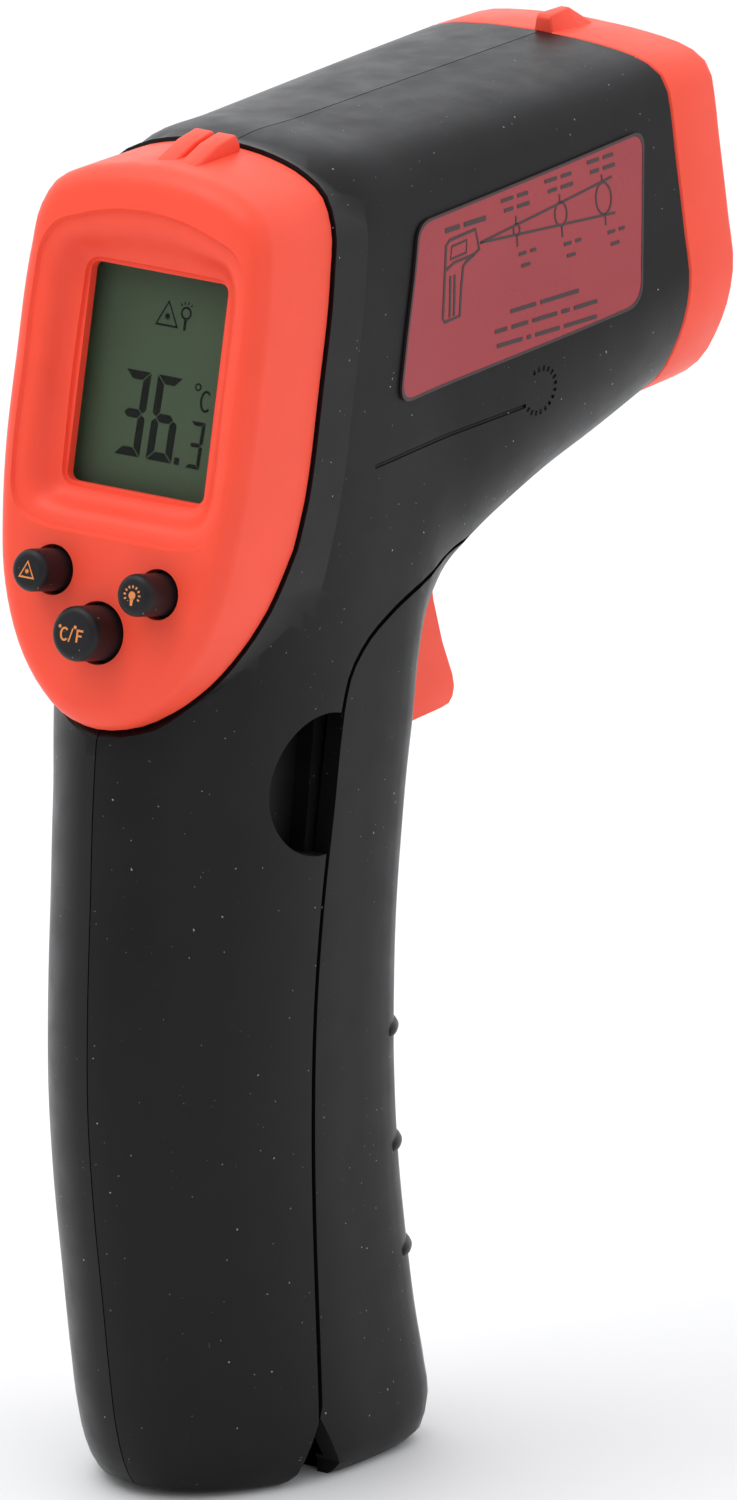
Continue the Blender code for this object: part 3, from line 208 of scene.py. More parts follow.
# Trigger.
TRIGGER_PIVOT = (2.0, 105.5)
TRIGGER_OUTLINE = [(5.3, 106.4), (5.6, 103.6), (7.4, 100.4), (8.3, 97.0), (9.2, 92.4), (10.9, 87.2),
                   (12.9, 82.8), (13.2, 81.4), (12.9, 80.3), (12.1, 79.6), (10.6, 79.4), (0.5, 79.0),
                   (-1.1, 79.7), (-1.4, 84.0), (-1.4, 92.0), (-1.2, 100.0), (-1.5, 104.5),
                   (-0.6, 107.8), (2.0, 108.9), (4.4, 108.0)]
TRIGGER_HALF = 6.5
TRIGGER_SLOT_HALF = 7.2
TRIGGER_PIN_RADIUS = 1.2
PIN_POST_FOOT = 7.0
PIN_POST_RADIUS = 2.8

# Nose and optics.
NOSE_SEAM_Y = 38.9
NOSE_FRONT_Y = 48.7
OPTIC_Z = 127.5
LASER_Z = 143.4
BARREL_OUTER = 8.6
BARREL_INNER = 7.2
BARREL_FRONT = 44.5
SENSOR_BORE = 5.2
LENS_Y = 37.0
LENS_RADIUS = 6.85
SIGHT_FOOT = 149.4

# Screws (y, z), all put in from the left.
SCREWS = [(20.0, 143.8), (27.0, 113.6), (-12.0, 143.8), (-12.0, 110.0), (-34.0, 58.0), (-33.5, 13.5)]
BOSS_RADIUS = 2.7
SCREW_RADIUS = 1.05
SCREW_HEAD = 2.0
SCREW_SEAT = 8.5

# Engraving under the label: where its line starts, how far it runs and climbs, and the ring.
LINE_START = (-16.2, 115.3)
LINE_RUN = 26.5
LINE_CLIMB = 1.4
TOOTHED_RING = (12.6, 118.0)
TOOTH_RADII = (2.3, 2.6, 2.9)

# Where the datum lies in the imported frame.
CENTRE_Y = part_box("nose_bezel")[1].y / MM - NOSE_FRONT_Y
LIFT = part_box("housing_right")[0].z / MM - STATIONS[-1][1]


def world(x, y, z):
    """Turn datum millimetres into world metres."""
    return Vector((x, y + CENTRE_Y, z + LIFT)) * MM


def place(x, y, z, direction=(0, 0, 1)):
    """Matrix that puts local Z along a direction at a datum point."""
    turn = Vector(direction).to_track_quat("Z", "Y").to_matrix().to_4x4()
    return Matrix.Translation(world(x, y, z)) @ turn


def face_frame():
    """Matrix whose local (x, y, z) are the face coordinates (x, v, n)."""
    low = math.sin(FACE_LEAN)
    high = math.cos(FACE_LEAN)
    axes = Matrix(((1, 0, 0, 0), (0, low, -high, 0), (0, high, low, 0), (0, 0, 0, 1)))
    return Matrix.Translation(axes @ Vector((0, 0, FACE_OUT * MM)) + world(0, 0, 0)) @ axes


# SIDEWAYS makes local (x, y, z) the Y, Z and X of what it is put in.
SIDEWAYS = Matrix(((0, 0, 1, 0), (1, 0, 0, 0), (0, 1, 0, 0), (0, 0, 0, 1)))
SIDE = Matrix.Translation(world(0, 0, 0)) @ SIDEWAYS
FACE = face_frame()
OPTIC_AXIS = place(0.0, 0.0, OPTIC_Z, (0, 1, 0))


def on_face(x, v):
    """Matrix whose origin is a point of the display face."""
    return FACE @ Matrix.Translation((x * MM, v * MM, 0))


# ---- materials
def node(tree, kind, **values):
    """Add a shader node and set its properties or sockets by name."""
    made = tree.nodes.new(kind)
    for name, value in values.items():
        if name in made.inputs:
            made.inputs[name].default_value = value
        else:
            setattr(made, name, value)
    return made


def map_range(tree, source, target, **values):
    """Shader node that maps one range of numbers onto another."""
    ends = {"From Min": source[0], "From Max": source[1], "To Min": target[0], "To Max": target[1]}
    return node(tree, "ShaderNodeMapRange", **values, **ends)


# Range of a noise texture that is used, and the dust that lies on a surface.
NOISE_RANGE = (0.3, 0.7)
DUST_COLOUR = (0.32, 0.32, 0.33, 1.0)
DUST_SIZE = 0.5
DUST_EDGE = 1.04


def surface(name, colour, tone=0.12, patch=9.0, rough=(0.36, 0.5), grain=0.35, depth=0.012,
            speck=0.0, sockets=None):
    """Moulded, painted or metal surface in world-sized grain.

    colour is linear RGB, tone how far it drifts over patches of `patch` mm, rough the range of
    roughness, grain and depth the size and height of the texture in mm, speck the share of dust.
    """
    material = bpy.data.materials.new(name)
    material.use_nodes = True
    tree = material.node_tree
    shader = tree.nodes["Principled BSDF"]
    for socket, value in (sockets or {}).items():
        shader.inputs[socket].default_value = value
    where = node(tree, "ShaderNodeTexCoord").outputs["Object"]

    def noise(size, detail):
        made = node(tree, "ShaderNodeTexNoise", Scale=1.0 / (size * MM), Detail=detail)
        tree.links.new(where, made.inputs["Vector"])
        return made.outputs["Fac"]

    def ramp(pattern, positions, colours):
        made = node(tree, "ShaderNodeValToRGB")
        for element, position, shade in zip(made.color_ramp.elements, positions, colours):
            element.position = position
            element.color = (*shade, 1.0)
        tree.links.new(pattern, made.inputs["Fac"])
        return made.outputs["Color"]

    shades = ([c * (1.0 - tone) for c in colour], [min(1.0, c * (1.0 + tone)) for c in colour])
    shown = ramp(noise(patch, 4.0), NOISE_RANGE, shades)
    if speck > 0.0:
        edges = (1.0 - speck, min(1.0, DUST_EDGE - speck))
        over = node(tree, "ShaderNodeMixRGB", blend_type="MIX", Color2=DUST_COLOUR)
        tree.links.new(ramp(noise(DUST_SIZE, 1.0), edges, ((0.0,) * 3, (1.0,) * 3)), over.inputs["Fac"])
        tree.links.new(shown, over.inputs["Color1"])
        shown = over.outputs["Color"]
    tree.links.new(shown, shader.inputs["Base Color"])

    span = map_range(tree, NOISE_RANGE, rough)
    tree.links.new(noise(patch * 0.45, 5.0), span.inputs["Value"])
    tree.links.new(span.outputs["Result"], shader.inputs["Roughness"])

    bump = node(tree, "ShaderNodeBump", Strength=1.0, Distance=depth * MM)
    tree.links.new(noise(grain, 3.0), bump.inputs["Height"])
    tree.links.new(bump.outputs["Normal"], shader.inputs["Normal"])
    return material


METAL = {"Metallic": 1.0}
CORAL_GLOW = {"Specular IOR Level": 0.25, "Subsurface Weight": 0.06, "Subsurface Scale": 1.0,
              "Subsurface Radius": (0.002, 0.0006, 0.0004)}
BLACK_SHEEN = {"Specular IOR Level": 0.2, "Sheen Weight": 0.12, "Sheen Roughness": 0.2}
CLEAR = {"Alpha": 0.13, "IOR": 1.49, "Specular IOR Level": 0.35}
FINISHES = {
    "coral_plastic": dict(colour=(0.95, 0.086, 0.045), tone=0.03, rough=(0.38, 0.48), grain=0.3,
        depth=0.005, sockets=CORAL_GLOW),
    "black_plastic": dict(colour=(0.0046, 0.0044, 0.0052), tone=0.12, rough=(0.33, 0.43), grain=0.28,
        depth=0.009, speck=0.222, sockets=BLACK_SHEEN),
    "button_black": dict(colour=(0.009, 0.009, 0.0105), tone=0.15, rough=(0.4, 0.5), grain=0.25,
        depth=0.009, speck=0.23, sockets={"Specular IOR Level": 0.25}),
    "label_film": dict(colour=(0.36, 0.045, 0.054), tone=0.05, patch=14.0, rough=(0.2, 0.3), grain=1.6,
        depth=0.004, sockets={"Specular IOR Level": 0.3}),
    "label_print": dict(colour=(0.035, 0.014, 0.016), tone=0.1, patch=6.0, rough=(0.3, 0.42), grain=0.3,
        depth=0.002),
    "icon_paint": dict(colour=(0.72, 0.24, 0.06), tone=0.12, patch=0.5, rough=(0.45, 0.6), grain=0.15,
        depth=0.006),
    "clear_window": dict(colour=(0.03, 0.04, 0.03), tone=0.02, rough=(0.06, 0.12), grain=3.0,
        depth=0.001, sockets=CLEAR),
    "lcd_glass": dict(colour=(0.088, 0.14, 0.08), tone=0.06, patch=12.0, rough=(0.35, 0.45), grain=0.2,
        depth=0.0006, sockets={"Specular IOR Level": 0.15}),
    "lcd_segment": dict(colour=(0.0025, 0.004, 0.0035), tone=0.1, patch=2.0, rough=(0.4, 0.5), grain=0.2,
        depth=0.0006, sockets={"Specular IOR Level": 0.1}),
    "white_plastic": dict(colour=(0.68, 0.68, 0.65), tone=0.04, grain=0.3, depth=0.008),
    "circuit_board": dict(colour=(0.018, 0.12, 0.045), tone=0.3, patch=2.2, rough=(0.3, 0.5), grain=0.5,
        depth=0.02),
    "plated_steel": dict(colour=(0.60, 0.60, 0.61), tone=0.08, patch=2.0, rough=(0.2, 0.38), grain=0.2,
        depth=0.006, sockets=METAL),
    "brass": dict(colour=(0.70, 0.50, 0.20), tone=0.1, patch=2.0, rough=(0.2, 0.35), grain=0.2,
                  depth=0.006, sockets=METAL),
    "conductive_rubber": dict(colour=(0.02, 0.02, 0.021), tone=0.2, rough=(0.65, 0.85), grain=0.3,
        depth=0.02),
    "infrared_lens": dict(colour=(0.42, 0.42, 0.40), tone=0.04, rough=(0.12, 0.22), grain=1.0,
        depth=0.002, sockets={"Coat Weight": 0.4}),
    "cell_jacket": dict(colour=(0.10, 0.22, 0.31), tone=0.06, rough=(0.25, 0.38), grain=0.6, depth=0.004),
    "red_wire": dict(colour=(0.50, 0.018, 0.018), tone=0.1, grain=0.3, depth=0.01),
    "black_wire": dict(colour=(0.015, 0.015, 0.016), tone=0.1, grain=0.3, depth=0.01),
}
MATERIALS = {name: surface(name, **finish) for name, finish in FINISHES.items()}


# ---- shape helpers
def add_object(name, mesh, material=None):
    """Object in the scene for a mesh."""
    obj = bpy.data.objects.new(name, mesh)
    bpy.context.scene.collection.objects.link(obj)
    mesh.materials.clear()
    if material is not None:
        mesh.materials.append(MATERIALS[material])
    return obj


def from_bmesh(name, shape, material=None):
    """Object for mesh data, which it frees."""
    mesh = bpy.data.meshes.new(name)
    shape.to_mesh(mesh)
    shape.free()
    return add_object(name, mesh, material)


def boolean(target, operation, others):
    """Boolean modifiers between an object and each of the others."""
    for other in others:
        modifier = target.modifiers.new(operation.lower(), "BOOLEAN")
        modifier.operation = operation
        modifier.object = other


def cut(target, *cutters):
    """Cut other objects out of an object."""
    boolean(target, "DIFFERENCE", cutters)


def join(target, *others):
    """Join other objects to an object."""
    boolean(target, "UNION", others)


def settle(obj, angle=32.0):
    """Apply an object's modifiers and shade it smooth up to a crease angle."""
    source = obj.evaluated_get(bpy.context.evaluated_depsgraph_get())
    mesh = bpy.data.meshes.new_from_object(source)
    old = obj.data
    obj.modifiers.clear()
    obj.data = mesh
    mesh.name = obj.name
    if old.users == 0:
        bpy.data.meshes.remove(old)
    material = mesh.materials[0] if mesh.materials else None
    mesh.materials.clear()
    if material is not None:
        mesh.materials.append(material)
    mesh.polygons.foreach_set("material_index", [0] * len(mesh.polygons))
    mesh.shade_smooth()
    mesh.set_sharp_from_angle(angle=math.radians(angle))
    return obj


def drop(*objects):
    """Delete cutters that have done their work."""
    for obj in objects:
        bpy.data.objects.remove(obj, do_unlink=True)


def finish_piece(obj, body, slot, *replaced):
    """Put a finished piece on its body and hide the CAD nodes it stands for."""
    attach(obj, body)
    if replaced:
        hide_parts(*replaced)


def smooth(points, count):
    """Return count points on a smooth curve through the given points."""
    knots = np.array(points, dtype=float)
    at = np.concatenate(([0.0], np.cumsum(np.linalg.norm(np.diff(knots, axis=0), axis=1))))
    slopes = np.gradient(knots, at, axis=0)
    where = np.linspace(0.0, at[-1], count)
    cell = np.clip(np.searchsorted(at, where) - 1, 0, len(at) - 2)
    width = (at[cell + 1] - at[cell])[:, None]
    t = (where - at[cell])[:, None] / width
    start = knots[cell] * (1 + 2 * t) * (1 - t) ** 2 + slopes[cell] * width * t * (1 - t) ** 2
    end = knots[cell + 1] * t * t * (3 - 2 * t) - slopes[cell + 1] * width * t * t * (1 - t)
    return start + end


def normals(along):
    """Unit vectors square to a row of 2D directions."""
    along = along / np.linalg.norm(along, axis=1)[:, None]
    return np.column_stack((-along[:, 1], along[:, 0]))


def ring_slopes(ring):
    """Direction of a closed 2D ring at each of its points."""
    return np.roll(ring, -1, axis=0) - np.roll(ring, 1, axis=0)


def offset(ring, distance):
    """Move a closed 2D ring along its normals: outwards when it runs clockwise."""
    return ring + distance * normals(ring_slopes(ring))


def mirrored(half):
    """Closed ring from a half outline that starts and ends on x = 0."""
    return np.concatenate((half, half[-2:0:-1] * np.array((-1.0, 1.0))))


def section(station, shrink):
    """Closed ring of datum points for one station of the body."""
    outer = np.array(station[0:2])
    span = np.array(station[2:4]) - outer
    length = np.linalg.norm(span)
    lower = min(max(int(station[5]), 0), 1)
    share = min(station[5] - lower, 1.0)
    half = FORMS[lower] * (1.0 - share) + FORMS[lower + 1] * share
    half = half * np.array((length, station[4]))
    ring = np.concatenate((half, half[-2:0:-1] * np.array((1.0, -1.0))))
    ring = offset(ring, -shrink)
    side = outer + ring[:, :1] * span / length
    return np.column_stack((ring[:, 1], side))


FORMS = [smooth(np.array(form) * SECTION_SCALE, HALF_POINTS + 1) / SECTION_SCALE
         for form in (NOSE_FORM, ELBOW_FORM, HANDLE_FORM)]
SEAM = smooth(DOOR_SEAM, 4 * len(DOOR_SEAM))
# Steps of a rounded edge: sine, and one minus cosine, of each angle.
QUARTER_ROUND = [(math.sin(a), 1.0 - math.cos(a)) for a in [math.radians(90.0 * i / 8) for i in range(1, 9)]]


def span_rows(shape, rows):
    """Faces between rows of vertices and over both ends, all facing out."""
    made = []
    for low, high in zip(rows, rows[1:]):
        for i in range(len(low)):
            j = (i + 1) % len(low)
            made.append(shape.faces.new((low[i], low[j], high[j], high[i])))
    made += [shape.faces.new(rows[0]), shape.faces.new(rows[-1])]
    bmesh.ops.recalc_face_normals(shape, faces=made)


def loft(name, rings, material=None, matrix=None):
    """Closed solid through rings of equal length, in datum millimetres or in a frame's own."""
    shape = bmesh.new()
    rows = []
    for ring in rings:
        points = [world(*point) if matrix is None else Vector(point) * MM for point in ring]
        rows.append([shape.verts.new(point) for point in points])
    span_rows(shape, rows)
    obj = from_bmesh(name, shape, material)
    if matrix is not None:
        obj.matrix_world = matrix
    return obj


def flat_mesh(outlines, thickness):
    """Mesh of one or more flat closed outlines, in metres; outlines inside others are holes."""
    curve = bpy.data.curves.new("outline", "CURVE")
    curve.dimensions = "2D"
    curve.fill_mode = "BOTH"
    curve.extrude = thickness * MM / 2
    for outline in outlines:
        spline = curve.splines.new("POLY")
        spline.points.add(len(outline) - 1)
        for point, (x, y) in zip(spline.points, outline):
            point.co = (x * MM, y * MM, 0.0, 1.0)
        spline.use_cyclic_u = True
    source = bpy.data.objects.new("outline", curve)
    bpy.context.scene.collection.objects.link(source)
    mesh = bpy.data.meshes.new_from_object(source.evaluated_get(bpy.context.evaluated_depsgraph_get()))
    bpy.data.objects.remove(source)
    return mesh


def flat_shapes(groups, thickness, merge=1e-7):
    """Mesh data of flat shapes, each a list of an outline and its holes."""
    shape = bmesh.new()
    for outlines in groups:
        mesh = flat_mesh(outlines, thickness)
        shape.from_mesh(mesh)
        bpy.data.meshes.remove(mesh)
    bmesh.ops.remove_doubles(shape, verts=shape.verts, dist=merge)
    return shape


def slab_group(name, groups, low, high, matrix, material, merge=1e-7):
    """Flat shapes extruded from low to high along a frame's local Z, in millimetres."""
    shape = flat_shapes(groups, high - low, merge)
    bmesh.ops.translate(shape, verts=shape.verts, vec=(0, 0, (low + high) * MM / 2))
    bmesh.ops.recalc_face_normals(shape, faces=shape.faces)
    obj = from_bmesh(name, shape, material)
    obj.matrix_world = matrix
    return obj


def slab(name, outline, low, high, matrix, material=None):
    """One flat outline extruded from low to high along a frame's local Z, in millimetres."""
    return slab_group(name, [[outline]], low, high, matrix, material, 1e-6)


def block(name, limits):
    """Box from its limits (x0, x1, y0, y1, z0, z1) in datum millimetres."""
    x0, x1, y0, y1, z0, z1 = limits
    middle = Matrix.Translation(world((x0 + x1) / 2, (y0 + y1) / 2, (z0 + z1) / 2))
    size = Matrix.Diagonal(((x1 - x0) * MM, (y1 - y0) * MM, (z1 - z0) * MM, 1.0))
    shape = bmesh.new()
    bmesh.ops.create_cube(shape, size=1.0, matrix=middle @ size)
    return from_bmesh(name, shape)


def rods(name, ends, radius, segments=48):
    """Straight rods between pairs of datum points, as one mesh."""
    shape = bmesh.new()
    for start, finish in ends:
        line = world(*finish) - world(*start)
        spot = place(*[(a + b) / 2 for a, b in zip(start, finish)], direction=line)
        bmesh.ops.create_cone(shape, cap_ends=True, segments=segments, depth=line.length, matrix=spot,
                              radius1=radius * MM, radius2=radius * MM)
    return from_bmesh(name, shape)


def cross_rods(name, ends, spots, radius):
    """Rods that run along X between two distances, one through each datum (y, z)."""
    low, high = ends
    return rods(name, [((low, y, z), (high, y, z)) for y, z in spots], radius)


def turned(name, profile, matrix, material=None, steps=64):
    """Turned piece from a profile of (radius, height) that runs from the top down the outer side."""
    mesh = bpy.data.meshes.new(name)
    points = [(radius * MM, 0.0, height * MM) for radius, height in profile]
    edges = [(i, i + 1) for i in range(len(points) - 1)]
    if profile[0][0] > 0.0:
        edges.append((len(points) - 1, 0))
    mesh.from_pydata(points, edges, [])
    obj = add_object(name, mesh, material)
    obj.matrix_world = matrix
    screw = obj.modifiers.new("turn", "SCREW")
    screw.axis = "Z"
    screw.steps = steps
    screw.render_steps = steps
    screw.use_merge_vertices = True
    screw.merge_threshold = 0.00001
    return obj


def polar(x, y, radius, angle):
    """Point at a distance and an angle in radians from a point."""
    return (x + radius * math.cos(angle), y + radius * math.sin(angle))


def arc(x, y, radius, start, end, count):
    """Points of an arc, angles in degrees."""
    angles = [math.radians(start + (end - start) * i / (count - 1)) for i in range(count)]
    return [polar(x, y, radius, angle) for angle in angles]


def circle(x, y, radius, count=48):
    """Points of a full circle."""
    return arc(x, y, radius, 0.0, 360.0 * (count - 1) / count, count)


def rectangle(x, y, width, height, corner, steps=8):
    """Rounded rectangle about a point."""
    points = []
    for a, b, start in ((1, 1, 0), (-1, 1, 90), (-1, -1, 180), (1, -1, 270)):
        middle = (x + a * (width / 2 - corner), y + b * (height / 2 - corner))
        points += arc(*middle, corner, start, start + 90, steps)
    return points


def stroke(points, width, closed=False):
    """Outlines of a line of the given width: one for an open line, two for a closed one."""
    line = np.array(points, dtype=float)
    along = ring_slopes(line) if closed else np.gradient(line, axis=0)
    across = normals(along) * width / 2
    if closed:
        return [line + across, line - across]
    return [np.concatenate((line + across, (line - across)[::-1]))]


# ---- body surfaces
def body_rings(shrink, count):
    """Rings of the body skin, or of the cavity a wall's thickness inside it."""
    rings = [section(station, shrink) for station in smooth(STATIONS, count)]
    floor = STATIONS[-1][1] + shrink
    inside = [ring for ring in rings if ring[:, 2].min() >= floor]
    if len(inside) < len(rings):
        last = inside[-1].copy()
        last[:, 2] = floor
        inside.append(last)
    return inside


def bezel_outline(grow):
    """Closed outline of the display bezel in (x, v), grown or shrunk."""
    return offset(mirrored(smooth(BEZEL_OUTLINE, BEZEL_POINTS)), grow)


def bezel_side(name, front, shift):
    """Cutter for everything in front of the seam between bezel and housing, or behind it."""
    reach = -FAR if front else FAR
    outline = [(v, shift - depth) for v, depth in BEZEL_DEPTH]
    outline += [(outline[-1][0], reach), (ZONE_TOP, reach), (ZONE_TOP, outline[0][1])]
    return slab(name, outline, -FAR, FAR, FACE @ SIDEWAYS)


def door_zone():
    """Cutter for the space of the battery door and its gap, hinge notch included."""
    outline = [tuple(point) for point in SEAM]
    outline += [(-28.0, ZONE_FOOT), (30.0, ZONE_FOOT), (14.0, 60.0), (8.6, 95.0), (7.4, 99.0)]
    return slab("door_zone", outline, -FAR, FAR, SIDE)


def housing_zone():
    """Cutter for everything that isn't battery door."""
    edge = SEAM + DOOR_GAP * normals(np.gradient(SEAM, axis=0))
    outline = [tuple(point) for point in edge[1:-1]]
    outline += [(-24.2, 6.0), (-20.3, -0.2), (-20.3, ZONE_FOOT), (-FAR, ZONE_FOOT), (-FAR, ZONE_TOP),
                (80.0, ZONE_TOP), (80.0, 99.0), (7.1, 99.0), (5.6, 101.9)]
    return slab("housing_zone", outline, -FAR, FAR, SIDE)


def surface_probe(obj):
    """Function that gives the body's half width at a datum (y, z)."""
    tree = BVHTree.FromObject(obj, bpy.context.evaluated_depsgraph_get())

    def half_width(y, z):
        return tree.ray_cast(world(60.0, y, z), Vector((-1, 0, 0)))[0].x / MM
    return half_width


def nose_rings(steps):
    """Rings of the nose outline at each (y, inset)."""
    rings = []
    for y, shrink in steps:
        ring = section(STATIONS[0], shrink)
        ring[:, 1] = y
        rings.append(ring)
    return rings


# ---- housing
def make_housing(skin, half_width):
    """Both halves of the housing: the skin, hollowed and cut, with its posts and holes."""
    collar = slab("collar", bezel_outline(COLLAR_STEP), -COLLAR_DEPTH, -1.0, FACE)
    shared = [bezel_side("behind_bezel", False, 0.0), loft("cavity", body_rings(WALL, CAVITY_SECTIONS)),
              loft("mouth", nose_rings([(20.0, MOUTH_INSET), (60.0, MOUTH_INSET)])),
              slab("bezel_bay", bezel_outline(-BAY_INSET), -COLLAR_DEPTH - 4.0, 20.0, FACE)]
    y, z, radius = NOTCH
    limit = loft("post_limit", body_rings(POST_COVER, CAVITY_SECTIONS))
    later = [door_zone(),
             block("trigger_slot", (-TRIGGER_SLOT_HALF, TRIGGER_SLOT_HALF, -10.0, 11.4, 80.0, 103.5)),
             rods("thumb_notches", [((-FAR, y, z), (-NOTCH_FLOOR, y, z)), ((NOTCH_FLOOR, y, z), (FAR, y, z))],
                  radius, 96),
             side_engraving(half_width)]
    for side, name in ((1, "housing_right"), (-1, "housing_left")):
        half = add_object(name + "_shell", skin.data.copy(), "black_plastic")
        away = block("away", sorted((-side * FAR, side * SEAM_HALF)) + [-FAR, FAR, -FAR, 2 * FAR])
        posts = side_posts(side, half_width, limit)
        holes = side_holes(side)
        join(half, collar)
        cut(half, away, *shared)
        join(half, *posts)
        cut(half, *later)
        end = notch_end(side)
        join(half, end)
        cut(half, *holes)
        settle(half)
        finish_piece(half, "housing", "black_plastic", name)
        drop(away, end, *posts, *holes)
    drop(collar, limit, *shared, *later)


def side_posts(side, half_width, limit):
    """Screw posts, thumb notch cup, trigger pin post and hinge lug of one half."""
    posts = [rods("screw_posts", [((side * GAP / 2, y, z), (side * post_reach(y, z, half_width), y, z))
                                  for y, z in SCREWS], BOSS_RADIUS)]
    y, z, radius = NOTCH
    inner = side * (NOTCH_FLOOR - NOTCH_WALL)
    cup = rods("notch_cup", [((inner, y, z), (side * NOTCH_REACH, y, z))], radius + NOTCH_WALL, 96)
    boolean(cup, "INTERSECT", [limit])
    posts.append(settle(cup))
    y, z = TRIGGER_PIVOT
    reach = side * post_reach(y, z, half_width)
    posts.append(rods("pin_post", [((side * PIN_POST_FOOT, y, z), (reach, y, z))], PIN_POST_RADIUS))
    y, z = HINGE
    lug = arc(y, z, KNUCKLE_RADIUS, -90, 90, 13)
    lug += [(y - 10.5, z + KNUCKLE_RADIUS), (y - 10.5, -0.2), (y - 7.4, -0.2)]
    posts.append(slab("hinge_lug", lug, *sorted(side * x for x in LUG_LIMITS), SIDE))
    return posts


def post_reach(y, z, half_width):
    """How far out a screw post may run before it would show through the skin."""
    rim = [half_width(a, b) for a, b in circle(y, z, BOSS_RADIUS, 12)]
    return min(rim) - POST_COVER


def notch_end(side):
    """Wall that closes a thumb notch along the door seam, just inside the door."""
    low, high = NOTCH_END_HEIGHTS
    seam = [tuple(point) for point in SEAM if low < point[1] < high]
    outline = [(y - 0.9, z) for y, z in seam] + [(y + 1.2, z) for y, z in seam[::-1]]
    low, high = sorted((side * (NOTCH_FLOOR - NOTCH_WALL), side * NOTCH_END_HALF))
    return slab("notch_end", outline, low, high, SIDE)


def side_holes(side):
    """Holes for screws, trigger pin and hinge pin in one half."""
    if side > 0:
        holes = [cross_rods("screw_bores", (-1.5, 9.0), SCREWS, SCREW_RADIUS + GAP)]
    else:
        holes = [cross_rods("screw_shafts", (-SCREW_SEAT - 1.0, 1.5), SCREWS, SCREW_RADIUS + GAP),
                 cross_rods("screw_heads", (-35.0, -SCREW_SEAT), SCREWS, SCREW_HEAD + GAP)]
    holes.append(cross_rods("pin_bore", (side * 1.0, side * 11.0), [TRIGGER_PIVOT], TRIGGER_PIN_RADIUS + GAP))
    holes.append(cross_rods("hinge_bore", (side * 1.0, side * 12.0), [HINGE], HINGE_PIN_RADIUS + GAP))
    return holes


def side_engraving(half_width):
    """Cutter for the engraved line below each label and the plain toothed ring at its front end."""
    y, z = LINE_START
    line = [(y + LINE_RUN * i / 30, z + LINE_CLIMB * i / 30) for i in range(31)]
    paths = [(line, 0.26)]
    y, z = TOOTHED_RING
    for k in range(15):
        angle = math.radians(-135.0 + 18.0 * k)
        paths.append(([polar(y, z, r, angle) for r in TOOTH_RADII], 0.2))
    shape = bmesh.new()
    for side in (1, -1):
        for path, radius in paths:
            sweep(shape, [world(side * half_width(a, b), a, b) for a, b in path], radius * MM, 8)
    return from_bmesh("side_engraving", shape)


def sweep(shape, path, radius, sides):
    """Add a closed tube along a path of world points to a bmesh."""
    rows = []
    last = len(path) - 1
    for i, point in enumerate(path):
        along = (path[min(i + 1, last)] - path[max(i - 1, 0)]).normalized()
        across = along.cross(Vector((1, 0, 0))).normalized()
        up = across.cross(along)
        rows.append([shape.verts.new(point + radius * (across * math.cos(a) + up * math.sin(a)))
                     for a in [2 * math.pi * k / sides for k in range(sides)]])
    span_rows(shape, rows)


def grip_rib(name, probe, height):
    """Bar wrapped round the front of the door, sunk into the body's skin, thin at both ends."""
    front = np.interp(height, [s[3] for s in STATIONS[:11:-1]], [s[2] for s in STATIONS[:11:-1]])
    rings = []
    for share in np.linspace(-1.0, 1.0, 41):
        angle = math.radians(RIB_SPREAD * share)
        out = Vector((math.sin(angle), math.cos(angle), 0.0))
        hit = probe.ray_cast(world(0.0, front - 13.0, height) + out * FAR * MM, -out)[0]
        radius = RIB_RADIUS * math.sqrt(1.001 - abs(share) ** 12)
        ring = []
        for turn in np.radians(np.arange(0.0, 360.0, 15.0)):
            reach = radius * math.cos(turn) - RIB_SUNK
            ring.append((hit.x / MM + out.x * reach, hit.y / MM - CENTRE_Y + out.y * reach,
                         height + radius * math.sin(turn)))
        rings.append(ring)
    return loft(name, rings)


def make_door(skin):
    """Battery door: the skin in front of the seam, with its hinge knuckle and grip bars."""
    door = add_object("battery_door_shell", skin.data.copy(), "black_plastic")
    probe = BVHTree.FromObject(skin, bpy.context.evaluated_depsgraph_get())
    ribs = [grip_rib(f"grip_rib_{height:.0f}", probe, height) for height in RIB_HEIGHTS]
    tools = [loft("door_hollow", body_rings(WALL, CAVITY_SECTIONS)), housing_zone(),
             cross_rods("knuckle", (-KNUCKLE_HALF, KNUCKLE_HALF), [HINGE], KNUCKLE_RADIUS),
             *ribs,
             block("door_slot", (-TRIGGER_SLOT_HALF, TRIGGER_SLOT_HALF, -20.0, 20.0, 75.4, 120.0)),
             rods("lug_room", [((side * 8.1, *HINGE), (side * 11.5, *HINGE)) for side in (-1, 1)], 4.6),
             cross_rods("door_bore", (-12.0, 12.0), [HINGE], HINGE_PIN_RADIUS + GAP)]
    cut(door, *tools[0:2])
    join(door, *tools[2:6])
    cut(door, *tools[6:])
    settle(door)
    drop(*tools)
    finish_piece(door, "battery_door", "black_plastic", "battery_door")


# ---- display end
def top_fall(v, n):
    """How far the top of the bezel comes down towards the face, so that it runs level."""
    share = max(0.0, v - FALL_FROM) / (BEZEL_OUTLINE[0][1] - FALL_FROM)
    return share * max(0.0, n + BEZEL_DEPTH[0][1]) * math.tan(FACE_LEAN)


